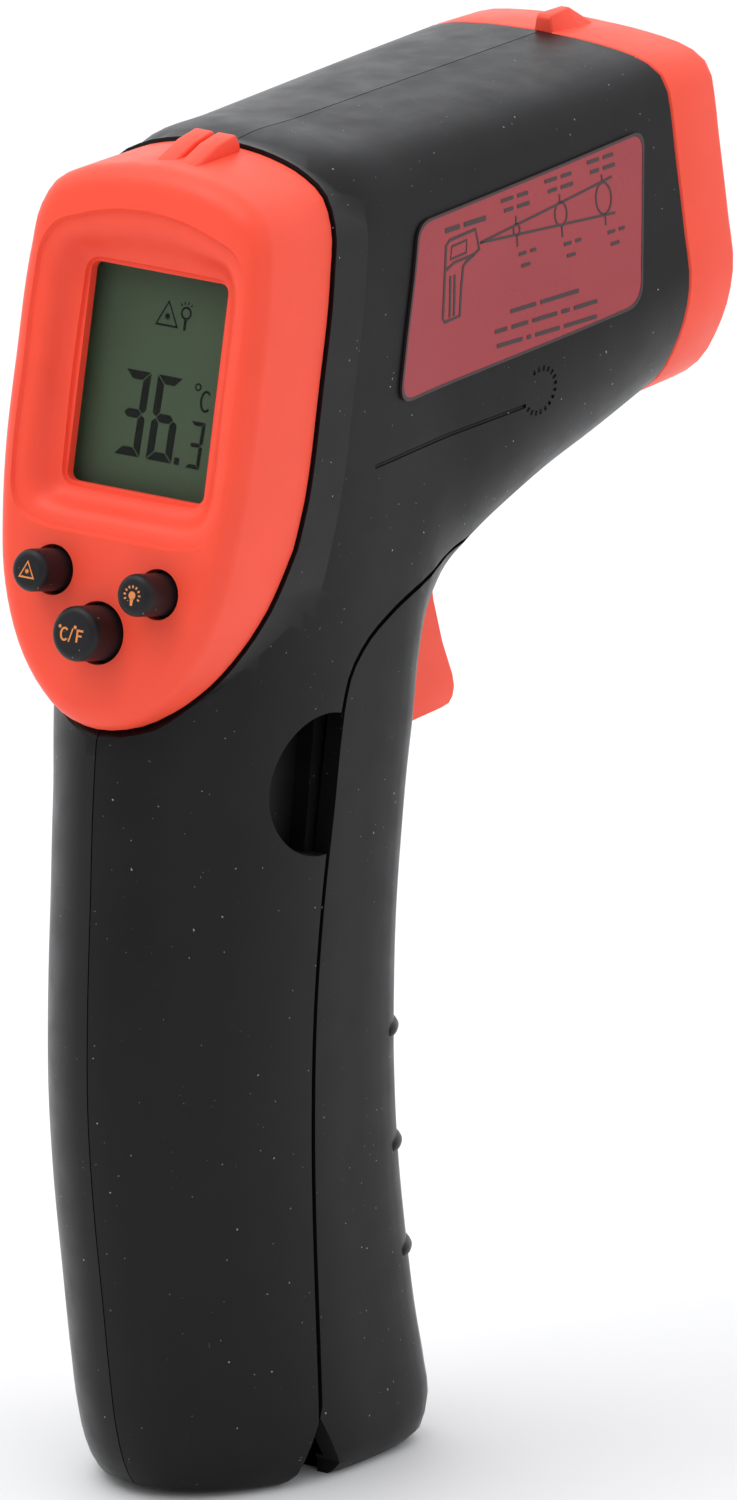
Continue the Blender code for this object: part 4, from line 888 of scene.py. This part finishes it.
def make_bezel():
    """Display end with its sunk screen panel, button holes and rear sight."""
    steps = [(-0.1, -16.0), (-0.1, -BEZEL_DEPTH[0][1]), (-0.15, -7.0), (-FACE_DRAFT, -FACE_ROUND)]
    steps += [(-FACE_DRAFT - FACE_ROUND * fall, -FACE_ROUND * (1.0 - rise)) for rise, fall in QUARTER_ROUND]
    rings = [[(x, v - top_fall(v, n), n) for x, v in bezel_outline(grow)] for grow, n in steps]
    bezel = loft("display_bezel_shell", rings, "coral_plastic", FACE)
    lower = [point for point in bezel_outline(-BEZEL_WALL - WELL_INSET) if point[1] < WELL_TOP]
    tools = [bezel_side("before_bezel", True, GAP),
             slab("bezel_hollow", bezel_outline(-BEZEL_WALL), -30.0, -SCREEN_WALL_DEPTH, FACE),
             slab("button_well", lower, -30.0, -BEZEL_WALL, FACE),
             screen_panel(),
             slab("screen_opening", rectangle(0.0, SCREEN_V, *SCREEN_OPENING, 1.0), -10.0, 1.0, FACE)]
    for name, (x, v, radius) in BUTTONS.items():
        hole = radius + BUTTON_ROOM
        tools.append(turned(name + "_hole", [(0.0, 3.0), (hole, 3.0), (hole, -6.0), (0.0, -6.0)],
                            on_face(x, v)))
    cut(bezel, *tools)
    sights = rear_sight()
    join(bezel, *sights)
    settle(bezel, 28.0)
    drop(*tools, *sights)
    finish_piece(bezel, "housing", "coral_plastic", "display_bezel")


def even_ring(outline, count):
    """Distances from the middle of the screen to an outline, at even angles."""
    ring = np.array(outline) - (0.0, SCREEN_V)
    ring = np.concatenate((ring, ring[:1]))
    dense = np.concatenate([np.linspace(a, b, 12, endpoint=False) for a, b in zip(ring, ring[1:])])
    angles = np.arctan2(dense[:, 0], dense[:, 1])
    order = np.argsort(angles)
    even = np.linspace(-math.pi, math.pi, count, endpoint=False)
    return np.interp(even, angles[order], np.hypot(*dense.T)[order], period=2 * math.pi)


def screen_panel():
    """Cutter for the sunk panel that slopes from its arched edge to the screen opening."""
    edge = even_ring(mirrored(smooth(PANEL_EDGE, 60)), PANEL_POINTS)
    opening = even_ring(rectangle(0.0, SCREEN_V, *SCREEN_OPENING, 1.6), PANEL_POINTS)
    even = np.linspace(-math.pi, math.pi, PANEL_POINTS, endpoint=False)
    rings = []
    for blend, grow, depth in PANEL_STEPS:
        reach = edge * (1.0 - blend) + opening * blend + grow
        rings.append([(r * math.sin(a), SCREEN_V + r * math.cos(a), -depth) for r, a in zip(reach, even)])
    return loft("screen_panel", rings, matrix=FACE)


def rear_sight():
    """Two sighting ribs on top of the bezel, with a narrow slot between them."""
    outline = [(-31.0, 149.5), (-31.0, 151.0), (-27.2, 152.4), (-23.4, 153.0), (-22.6, 151.8), (-22.4, 149.5)]
    ribs = [slab("rear_sight", outline, low, high, SIDE) for low, high in ((-2.8, -0.3), (0.3, 2.8))]
    for rib in ribs:
        soften(rib, 0.3, 3)
    return ribs


def soften(obj, width, segments, angle=30.0):
    """Round an object's edges."""
    bevel = obj.modifiers.new("edge", "BEVEL")
    bevel.width = width * MM
    bevel.segments = segments
    bevel.limit_method = "ANGLE"
    bevel.angle_limit = math.radians(angle)
    return obj


def make_buttons():
    """Button caps on the display face, each with its printed icon."""
    grow, top, under = BUTTON_FLANGE
    stem, foot = BUTTON_STEM
    for name, (x, v, radius) in BUTTONS.items():
        spot = on_face(x, v)
        cap = [(0.0, BUTTON_RISE)]
        cap += arc(radius - BUTTON_EDGE, BUTTON_RISE - BUTTON_EDGE, BUTTON_EDGE, 90, 0, 9)
        cap += [(radius, top), (radius + grow, top), (radius + grow, under), (stem, under), (stem, foot),
                (0.0, foot)]
        button = settle(turned(name + "_button_cap", cap, spot, "button_black"))
        finish_piece(button, name + "_button", "button_black", name + "_button")
        icon = decal(name + "_icon", ICONS[name], BUTTON_RISE, spot, "icon_paint")
        finish_piece(icon, name + "_button", "icon_paint")


def decal(name, outlines, level, matrix, material, thickness=0.05):
    """Thin print lying on a flat surface at a level along a frame's local Z."""
    return settle(slab_group(name, outlines, level - 0.01, level + thickness, matrix, material))


def triangle_icon(x, y, size, width):
    """Outlined triangle with a small burst in it."""
    corners = [(x, y + size), (x - 0.87 * size, y - 0.62 * size), (x + 0.87 * size, y - 0.62 * size)]
    share = 1 - 2.3 * width / size
    inner = [(x + (px - x) * share, y + (py - y) * share) for px, py in corners]
    burst = [polar(x, y, (0.27 if k % 2 == 0 else 0.13) * size, math.pi * k / 8) for k in range(16)]
    return [[corners, inner], [burst]]


def lamp_icon(x, y, size, rays):
    """Round lamp on a short stem, with rays round its head."""
    head = [circle(x, y, 0.34 * size, 24)]
    corners = ((-0.16, 0.3), (0.16, 0.3), (0.11, 0.85), (-0.11, 0.85))
    stem = [[(x + a * size, y - b * size) for a, b in corners]]
    shapes = [head, stem]
    for k in range(rays):
        angle = math.radians(-25.0 + 230.0 * k / (rays - 1))
        spot = [polar(x, y, r * size, angle) for r in (0.62, 0.72, 0.84)]
        shapes.append(stroke(spot, 0.15 * size))
    return shapes


def letter_c(x, y, width, height, line):
    """Letter C about a point, in strokes of the given width."""
    path = [(x + width / 2 * math.cos(a), y + height / 2 * math.sin(a))
            for a in [math.radians(45 + 270 * k / 20) for k in range(21)]]
    return stroke(path, line)


def unit_icon():
    """Degree marks of the two temperature scales."""
    shapes = [[circle(-1.75, 0.62, 0.2, 14)], letter_c(-1.05, -0.15, 0.95, 1.35, 0.24)]
    shapes.append(stroke([(-0.42, -0.95), (-0.2, -0.2), (0.02, 0.6)], 0.17))
    shapes.append([circle(0.3, 0.78, 0.2, 14)])
    letter_f = [(0.55, -0.85), (0.8, -0.85), (0.8, -0.22), (1.3, -0.22), (1.3, 0.0), (0.8, 0.0),
                (0.8, 0.36), (1.45, 0.36), (1.45, 0.6), (0.55, 0.6)]
    shapes.append([letter_f])
    return shapes


ICONS = {"laser": triangle_icon(0.0, -0.1, 1.25, 0.13), "backlight": lamp_icon(0.0, 0.0, 1.35, 9),
         "unit": unit_icon()}

# Segments lit for each figure: top, top left, top right, middle, bottom left, bottom right, bottom.
FIGURE_LEAN = 0.04
LIT = {"3": (1, 0, 1, 1, 0, 1, 1), "6": (1, 1, 0, 1, 1, 1, 1)}


def figure(symbol, x, v, width, height, bar):
    """Seven-segment figure with its low left corner at (x, v), leaning slightly."""
    half = height / 2
    slit = bar * 0.09
    top = [(slit, 0), (width - slit, 0), (width - bar - slit, -bar), (bar + slit, -bar)]
    upright = [(0, slit), (bar, bar + slit), (bar, half - bar / 2 - slit), (bar / 2, half - slit),
               (0, half - bar / 2)]
    middle = [(bar / 2 + slit, 0), (bar + slit, bar / 2), (width - bar - slit, bar / 2),
              (width - bar / 2 - slit, 0), (width - bar - slit, -bar / 2), (bar + slit, -bar / 2)]
    shapes = [[(a, height + b) for a, b in top], [(a, height - b) for a, b in upright],
              [(width - a, height - b) for a, b in upright], [(a, half + b) for a, b in middle],
              upright, [(width - a, b) for a, b in upright], [(a, -b) for a, b in top]]
    return [[[(x + a + FIGURE_LEAN * b, v + b) for a, b in shape]]
            for shape, lit in zip(shapes, LIT[symbol]) if lit]


def make_display():
    """Display glass, the marks that show on it and the clear window in front."""
    pane = rectangle(0.0, SCREEN_V, *LCD_SIZE, 0.4)
    panel = slab("lcd_panel_glass", pane, *LCD_LEVELS, FACE, "lcd_glass")
    finish_piece(settle(panel), "housing", "lcd_glass", "lcd_panel")
    marks = figure("3", -5.35, 108.0, 3.5, 9.6, 1.0) + figure("6", -0.95, 108.0, 3.5, 9.6, 1.0)
    marks += figure("3", 4.4, 107.9, 2.0, 5.3, 0.5)
    marks.append([[(2.9, 108.0), (3.6, 108.0), (3.63, 108.8), (2.93, 108.8)]])
    marks.append([circle(5.0, 117.0, 0.46, 20), circle(5.0, 117.0, 0.24, 20)])
    marks.append(letter_c(6.25, 115.55, 1.3, 2.2, 0.3))
    marks += triangle_icon(-0.27, 124.15, 1.85, 0.17)
    x, v = LCD_LAMP
    marks.append([circle(x, v, 0.75, 24), circle(x, v, 0.5, 24)])
    marks.append([[(2.0, 124.1), (2.4, 124.1), (2.36, 122.9), (2.04, 122.9)]])
    for angle in [math.radians(degrees) for degrees in (55, 80, 105, 130)]:
        ray = [polar(x, v, r, angle) for r in (0.95, 1.1, 1.3)]
        marks.append(stroke(ray, 0.16))
    print_layer = decal("lcd_marks", marks, LCD_LEVELS[1], FACE, "lcd_segment", 0.02)
    finish_piece(print_layer, "housing", "lcd_segment")
    pane = rectangle(0.0, SCREEN_V, *WINDOW_SIZE, 1.0)
    window = slab("display_window_pane", pane, *WINDOW_LEVELS, FACE, "clear_window")
    finish_piece(settle(window), "housing", "clear_window", "display_window")


# ---- nose and optics
def make_nose():
    """Ring round the nose, and the plate inside it with the mouths of lens and laser."""
    back = NOSE_SEAM_Y + GAP
    steps = [(back, 0.35), (back + 0.25, 0.05), (NOSE_SEAM_Y + 0.8, 0.0), (44.0, 0.12)]
    steps += [(47.3 + 1.4 * rise, 0.2 + 1.1 * fall) for rise, fall in QUARTER_ROUND]
    ring = loft("nose_bezel_shell", nose_rings(steps), "coral_plastic")
    adds = [loft("nose_spigot", nose_rings([(35.5, WALL + 0.7), (41.0, WALL + 0.7)])), front_sight()]
    tools = [loft("nose_throat", nose_rings([(20.0, WALL + 2.2), (60.0, WALL + 2.2)])),
             loft("nose_seat", nose_rings([(44.6, 2.9), (60.0, 2.9)]))]
    join(ring, *adds)
    cut(ring, *tools)
    settle(ring)
    drop(*adds, *tools)
    finish_piece(ring, "housing", "coral_plastic", "nose_bezel")

    steps = [(44.9, 3.2), (46.2, 3.2), (46.5, 3.35), (46.6, 3.7)]
    plate = loft("nose_plate_face", nose_rings(steps), "black_plastic")
    mouth = [(0.0, 60.0), (9.6, 60.0), (9.6, 46.6), (8.0, 44.0), (0.0, 44.0)]
    tools = [turned("optic_mouth", mouth, OPTIC_AXIS),
             rods("laser_exit", [((0.0, 40.0, LASER_Z), (0.0, 60.0, LASER_Z))], 2.2)]
    cut(plate, *tools)
    settle(plate)
    drop(*tools)
    finish_piece(plate, "housing", "black_plastic", "nose_plate")


def front_sight():
    """Wedge on top of the nose ring: upright at the rear, level, then falling to the front."""
    # Each section: y, half widths of its base and its top, and its height.
    sight = [(39.3, 1.5, 0.9, 152.6), (39.7, 1.6, 0.95, 153.0), (43.7, 2.7, 0.6, 153.05),
             (48.1, 3.2, 0.3, 150.5)]
    rings = [[(-base, y, SIGHT_FOOT), (-top, y, peak), (top, y, peak), (base, y, SIGHT_FOOT)]
             for y, base, top, peak in sight]
    return soften(loft("front_sight", rings), 0.2, 2)


def make_optics():
    """Lens barrel with a stepped bore, and the infrared lens in it."""
    bore = [(BARREL_INNER + (0.0 if k % 2 == 0 else 0.25), BARREL_FRONT - 0.55 * k) for k in range(13)]
    neck = BARREL_OUTER - 0.6
    flange = BARREL_OUTER + 1.2
    outside = [(BARREL_OUTER, BARREL_FRONT), (BARREL_OUTER, 41.0), (neck, 40.6), (neck, 24.0),
               (flange, 24.0), (flange, 21.0), (SENSOR_BORE, 21.0), (SENSOR_BORE, LENS_Y - 2.0),
               (BARREL_INNER, LENS_Y - 1.2)]
    barrel = settle(turned("lens_barrel_tube", bore[::-1] + outside, OPTIC_AXIS, "black_plastic"))
    finish_piece(barrel, "housing", "black_plastic", "lens_barrel")
    crown = [(LENS_RADIUS * math.sin(a), LENS_Y - 0.1 + math.cos(a)) for a in
             [math.pi / 2 * k / 12 for k in range(13)]]
    crown += [(LENS_RADIUS, LENS_Y - 0.9), (0.0, LENS_Y - 0.9)]
    lens = settle(turned("ir_lens_crown", crown, OPTIC_AXIS, "infrared_lens"))
    finish_piece(lens, "housing", "infrared_lens", "ir_lens")


# ---- trigger and screws
def make_trigger():
    """Trigger with rounded edges and the bore for its pin."""
    trigger = slab("trigger_blade", TRIGGER_OUTLINE, -TRIGGER_HALF, TRIGGER_HALF, SIDE, "coral_plastic")
    soften(trigger, 0.9, 5, 24.0)
    bore = cross_rods("trigger_bore", (-9.0, 9.0), [TRIGGER_PIVOT], TRIGGER_PIN_RADIUS + GAP)
    cut(trigger, bore)
    settle(trigger)
    drop(bore)
    finish_piece(trigger, "trigger", "coral_plastic", "trigger")


SPRING_FOOT = (0.0, -11.7, 81.8)
SPRING_LENGTH = 9.9
SPRING_RADIUS = 1.9
SPRING_TURNS = 5
SPRING_WIRE = 0.25


def make_trigger_spring():
    """Coil spring from the trigger's board to its back, built at one fixed length."""
    x, y, z = SPRING_FOOT
    wire = [(SPRING_RADIUS + SPRING_WIRE * math.cos(a), SPRING_WIRE * math.sin(a))
            for a in np.radians(np.arange(0.0, 360.0, 36.0))]
    rings = []
    for share in np.linspace(0.0, 1.0, 24 * SPRING_TURNS + 1):
        turn = 2 * math.pi * SPRING_TURNS * share
        rings.append([(x + r * math.cos(turn), y + SPRING_LENGTH * share + rise, z + r * math.sin(turn))
                      for r, rise in wire])
    spring = settle(loft("trigger_return_spring", rings, "plated_steel"))
    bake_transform(spring)
    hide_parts("trigger_spring")


def make_screws():
    """Pan-headed screws with a cross recess, down their holes in the left half."""
    seat = SCREW_SEAT + GAP
    profile = [(r, seat + 0.5 + 0.7 * math.sqrt(1.0 - 0.96 * (r / SCREW_HEAD) ** 2)) for r in
               [SCREW_HEAD * k / 8 for k in range(9)]]
    profile += [(SCREW_HEAD, seat), (SCREW_RADIUS, seat), (SCREW_RADIUS, -7.4), (0.4, -8.6), (0.0, -8.6)]
    for number, (y, z) in enumerate(SCREWS, 1):
        name = f"housing_screw_{number}"
        spot = place(0.0, y, z, (-1, 0, 0))
        screw = turned(name + "_cross", profile, spot, "plated_steel", 32)
        arms = [slab("arm", rectangle(0.0, 0.0, *size, 0.1, 3), SCREW_SEAT + 0.85, SCREW_SEAT + 3.0, spot)
                for size in ((2.2, 0.45), (0.45, 2.2))]
        cut(screw, *arms)
        settle(screw)
        drop(*arms)
        finish_piece(screw, "housing", "plated_steel", name)


# ---- side labels
LABEL_CORNERS = [((-8.0, 141.5), 2.2), ((33.2, 143.6), 2.2), ((29.7, 124.6), 2.6), ((-12.0, 121.6), 2.6)]
LABEL_LIFT = GAP
LABEL_THICK = 0.28
BORDER_EDGES = (-0.14, 0.17)
BORDER_LOW = 0.02
PRINT_LOW = 0.01
PRINT_HIGH = 0.05


def label_edge(shrink):
    """Rounded outline of the label in (y, z), drawn in by shrink."""
    points = []
    for index, (corner, radius) in enumerate(LABEL_CORNERS):
        here = Vector(corner)
        before = (Vector(LABEL_CORNERS[index - 1][0]) - here).normalized()
        after = (Vector(LABEL_CORNERS[(index + 1) % 4][0]) - here).normalized()
        here = here + (before + after) * shrink
        start = here + before * radius
        end = here + after * radius
        for t in np.linspace(0.0, 1.0, 9):
            points.append(tuple(start * (1 - t) ** 2 + here * 2 * t * (1 - t) + end * t * t))
    return points


def on_side(name, groups, side, low, high, half_width, material):
    """Flat shapes in (y, z) wrapped onto the side of the barrel, between two heights above it."""
    shape = flat_shapes(groups, 0.0)
    seen = set()
    doubled = []
    for face in shape.faces:
        key = tuple(sorted(vert.index for vert in face.verts))
        if key in seen:
            doubled.append(face)
        seen.add(key)
    bmesh.ops.delete(shape, geom=doubled, context="FACES_ONLY")
    # Cut into squares of 1 mm, so that the flat shapes can follow the curved side.
    for axis, normal in enumerate(((1, 0, 0), (0, 1, 0))):
        places = [vert.co[axis] / MM for vert in shape.verts]
        for at in range(math.ceil(min(places)), math.ceil(max(places))):
            everything = list(shape.verts) + list(shape.edges) + list(shape.faces)
            bmesh.ops.bisect_plane(shape, geom=everything, plane_co=Vector(normal) * at * MM, plane_no=normal)
    for vert in shape.verts:
        y, z = vert.co.x / MM, vert.co.y / MM
        vert.co = world(side * (half_width(y, z) + low), y, z)
    bmesh.ops.recalc_face_normals(shape, faces=shape.faces)
    outward = sum((face.normal.x * face.calc_area() for face in shape.faces), 0.0)
    if outward * side < 0:
        bmesh.ops.reverse_faces(shape, faces=shape.faces)
    obj = from_bmesh(name, shape, material)
    thick = obj.modifiers.new("thick", "SOLIDIFY")
    thick.thickness = (high - low) * MM
    thick.offset = 1.0
    return settle(obj)


def make_label(side, name, half_width):
    """Film on one side of the barrel, with its border line and its printed chart."""
    border = [[label_edge(shrink) for shrink in BORDER_EDGES]]
    layers = [("film", [[label_edge(0.0)]], LABEL_LIFT - LABEL_THICK, LABEL_LIFT),
              ("border", border, BORDER_LOW, LABEL_LIFT + PRINT_HIGH),
              ("print", spot_chart(), LABEL_LIFT + PRINT_LOW, LABEL_LIFT + PRINT_HIGH)]
    for layer, groups, low, high in layers:
        slot = "label_film" if layer == "film" else "label_print"
        piece = on_side(f"{name}_{layer}", groups, side, low, high, half_width, slot)
        finish_piece(piece, "housing", slot, *([name] if layer == "film" else []))


WORD_SPACE = 0.75


def bar(y, z, width, height):
    """Flat bar about a point."""
    corners = ((-1, -1), (1, -1), (1, 1), (-1, 1))
    return [[(y + a * width / 2, z + b * height / 2) for a, b in corners]]


def bar_row(y, z, words, height):
    """Row of bars of the given widths, centred on a point, in place of a line of lettering."""
    at = y - (sum(words) + WORD_SPACE * (len(words) - 1)) / 2
    shapes = []
    for width in words:
        shapes.append(bar(at + width / 2, z, width, height))
        at += width + WORD_SPACE
    return shapes


CHART_SHIFT = (1.6, -0.3)
BEAM_START = (0.9, 137.5)
BEAM_END = (25.0, 138.0)
BEAM_SPREAD = 2.05
# Spot marks along the beam: share of its length and half height of the spot.
SPOTS = [(0.27, 0.67), (0.6, 1.35), (0.925, 1.78)]
# Rows of bars away from the beam: middle, widths and height.
CHART_ROWS = [(-1.5, 140.1, (2.6, 3.9), 0.55), (11.6, 128.6, (4.4, 6.6), 0.45),
              (11.7, 126.8, (2.1, 2.8, 4.2, 1.4, 4.0), 0.45), (11.7, 125.1, (4.3, 0.7, 4.1, 5.6), 0.45)]
CHART_BODY = [(-5.1, 138.4), (-4.4, 138.9), (0.2, 139.2), (0.7, 136.8), (-1.5, 135.9), (-2.2, 135.5),
              (-2.6, 133.4), (-3.0, 129.9), (-5.6, 129.7), (-5.9, 130.2), (-5.5, 134.9)]
CHART_SCREEN = [(-4.4, 136.7), (-4.1, 138.1), (-1.4, 138.3), (-1.6, 136.9)]


def spot_chart():
    """Generic chart of the measuring cone: a small thermometer, its widening beam and spot sizes."""
    shapes = []
    y0, z0 = BEAM_START
    y1, z1 = BEAM_END
    for sign in (-1, 1):
        line = [(y0 + (y1 - y0) * k / 12, z0 + (z1 - z0 + sign * BEAM_SPREAD) * k / 12) for k in range(13)]
        shapes.append(stroke(line, 0.27))
    for index, (share, half) in enumerate(SPOTS):
        y = y0 + (y1 - y0) * share
        z = z0 + (z1 - z0) * share
        oval = [(y + (0.05 + 0.75 * half) * math.cos(a), z + half * math.sin(a))
                for a in [2 * math.pi * k / 28 for k in range(28)]]
        shapes.append(stroke(oval, 0.24, closed=True))
        for low, high in ((z - half - 1.3, z - half), (z + half, z + half + 0.9)):
            shapes.append(stroke([(y, low), (y, (low + high) / 2), (y, high)], 0.22))
        top = 141.4 + 0.55 * index
        shapes += bar_row(y, top, (2.2, 1.9), 0.42) + bar_row(y + 0.3, top - 1.2, (1.6, 2.2), 0.42)
        under = z - half - 2.2
        shapes += bar_row(y + 1.7, under, (1.3, 1.0), 0.38) + bar_row(y + 1.3, under - 1.4, (1.5,), 0.38)
    for row in CHART_ROWS:
        shapes += bar_row(*row)
    # The small thermometer: its outline, screen, grip line and two ribs.
    shapes.append(stroke(CHART_BODY, 0.34, closed=True))
    shapes.append(stroke(CHART_SCREEN, 0.26, closed=True))
    shapes.append(stroke([(-5.3, 135.6), (-3.8, 136.2), (-0.4, 136.4)], 0.3))
    for shift in (1.0, 1.75):
        shapes.append(stroke([(-5.5 + shift, 134.8), (-5.6 + shift, 132.4), (-5.75 + shift, 130.1)], 0.3))
    dy, dz = CHART_SHIFT
    return [[[(y + dy, z + dz) for y, z in outline] for outline in shape] for shape in shapes]


# ---- carried-over CAD nodes
def paint_nodes():
    """Give every CAD node that still shows the procedural material of its slot."""
    slots = {part["node"]: part["material_slot"] for part in frame["record"]["subparts"]}
    for name, obj in NODES.items():
        if obj.hide_render:
            continue
        obj.data.materials.clear()
        obj.data.materials.append(MATERIALS[slots[name]])


# ---- stage, light and camera
FLOOR_COLOUR = (0.86, 0.86, 0.86)
LIGHT_AIM = (0.0, 0.0, 0.08)
KEY_PLACE = (-0.3, -0.35, 1.08)
KEY_SIZE = (0.7, 0.7)
KEY_POWER = 4.0
FILL_PLACE = (0.9, -0.5, 0.35)
FILL_SIZE = (0.5, 0.9)
FILL_POWER = 0.8
# The room is brightest towards BRIGHT_SIDE, and changes between these two leanings to it.
BRIGHT_SIDE = (-0.45, 0.65, 0.6)
ROOM_LEAN = (-0.6, 0.5)
ROOM_LIGHT = (0.36, 1.27)
ROOM_COLOUR = (0.97, 0.98, 1.0, 1.0)
CAMERA_AZIMUTH = math.radians(35.7)
CAMERA_ELEVATION = math.radians(16.15)
CAMERA_DISTANCE = 3.2
# What the camera aims at, to its right and up from the origin, and how tall its picture is.
AIM_RIGHT = 0.004
AIM_UP = 0.0749
FRAME_HEIGHT = 0.16865
SENSOR = 36.0


def make_stage():
    """White floor."""
    shape = bmesh.new()
    bmesh.ops.create_grid(shape, x_segments=1, y_segments=1, size=6.0)
    floor = from_bmesh("floor", shape)
    white = surface("floor_white", FLOOR_COLOUR, tone=0.01, patch=60.0, rough=(0.6, 0.7), grain=4.0,
                    depth=0.002)
    floor.data.materials.append(white)


def looking(name, data, spot, direction):
    """Lamp or camera at a spot, turned to look in a direction."""
    obj = bpy.data.objects.new(name, data)
    obj.location = spot
    obj.rotation_euler = direction.to_track_quat("-Z", "Y").to_euler()
    bpy.context.scene.collection.objects.link(obj)
    return obj


def soft_light(name, spot, size, power):
    """Rectangular lamp at a spot, turned to the object."""
    data = bpy.data.lights.new(name, "AREA")
    data.shape = "RECTANGLE"
    data.size, data.size_y = size
    data.energy = power
    looking(name, data, spot, Vector(LIGHT_AIM) - Vector(spot))


def make_light():
    """Key and fill lamps, and a room that is brighter towards one side."""
    soft_light("key", KEY_PLACE, KEY_SIZE, KEY_POWER)
    soft_light("fill", FILL_PLACE, FILL_SIZE, FILL_POWER)
    studio = bpy.data.worlds.new("studio")
    studio.use_nodes = True
    tree = studio.node_tree
    where = node(tree, "ShaderNodeTexCoord").outputs["Generated"]
    lean = node(tree, "ShaderNodeVectorMath", operation="DOT_PRODUCT")
    lean.inputs[1].default_value = Vector(BRIGHT_SIDE).normalized()
    tree.links.new(where, lean.inputs[0])
    span = map_range(tree, ROOM_LEAN, ROOM_LIGHT, interpolation_type="SMOOTHSTEP")
    tree.links.new(lean.outputs["Value"], span.inputs["Value"])
    tree.links.new(span.outputs["Result"], tree.nodes["Background"].inputs["Strength"])
    tree.nodes["Background"].inputs["Color"].default_value = ROOM_COLOUR
    bpy.context.scene.world = studio


def make_camera():
    """Camera with a long lens, level with the world and aimed a little above the origin."""
    right = Vector((math.cos(CAMERA_AZIMUTH), math.sin(CAMERA_AZIMUTH), 0.0))
    back = Vector((math.sin(CAMERA_AZIMUTH) * math.cos(CAMERA_ELEVATION),
                   -math.cos(CAMERA_AZIMUTH) * math.cos(CAMERA_ELEVATION), math.sin(CAMERA_ELEVATION)))
    up = back.cross(right)
    low, high = CAD_BOX
    aim = right * AIM_RIGHT + up * AIM_UP + back * ((low + high) / 2).dot(back)
    data = bpy.data.cameras.new("camera")
    data.sensor_width = SENSOR
    data.lens = SENSOR * CAMERA_DISTANCE / FRAME_HEIGHT
    data.clip_end = 100.0
    bpy.context.scene.camera = looking("camera", data, aim + back * CAMERA_DISTANCE, -back)
    bpy.context.scene.view_settings.view_transform = "Standard"


# ---- assembly
def build():
    """Make every piece, then the stage, the light and the camera."""
    skin = loft("body_skin", body_rings(0.0, SECTIONS))
    half_width = surface_probe(skin)
    make_housing(skin, half_width)
    make_door(skin)
    for side, name in ((1, "side_label_right"), (-1, "side_label_left")):
        make_label(side, name, half_width)
    drop(skin)
    make_bezel()
    make_display()
    make_buttons()
    make_nose()
    make_optics()
    make_trigger()
    make_trigger_spring()
    make_screws()
    paint_nodes()
    make_stage()
    make_light()
    make_camera()


build()
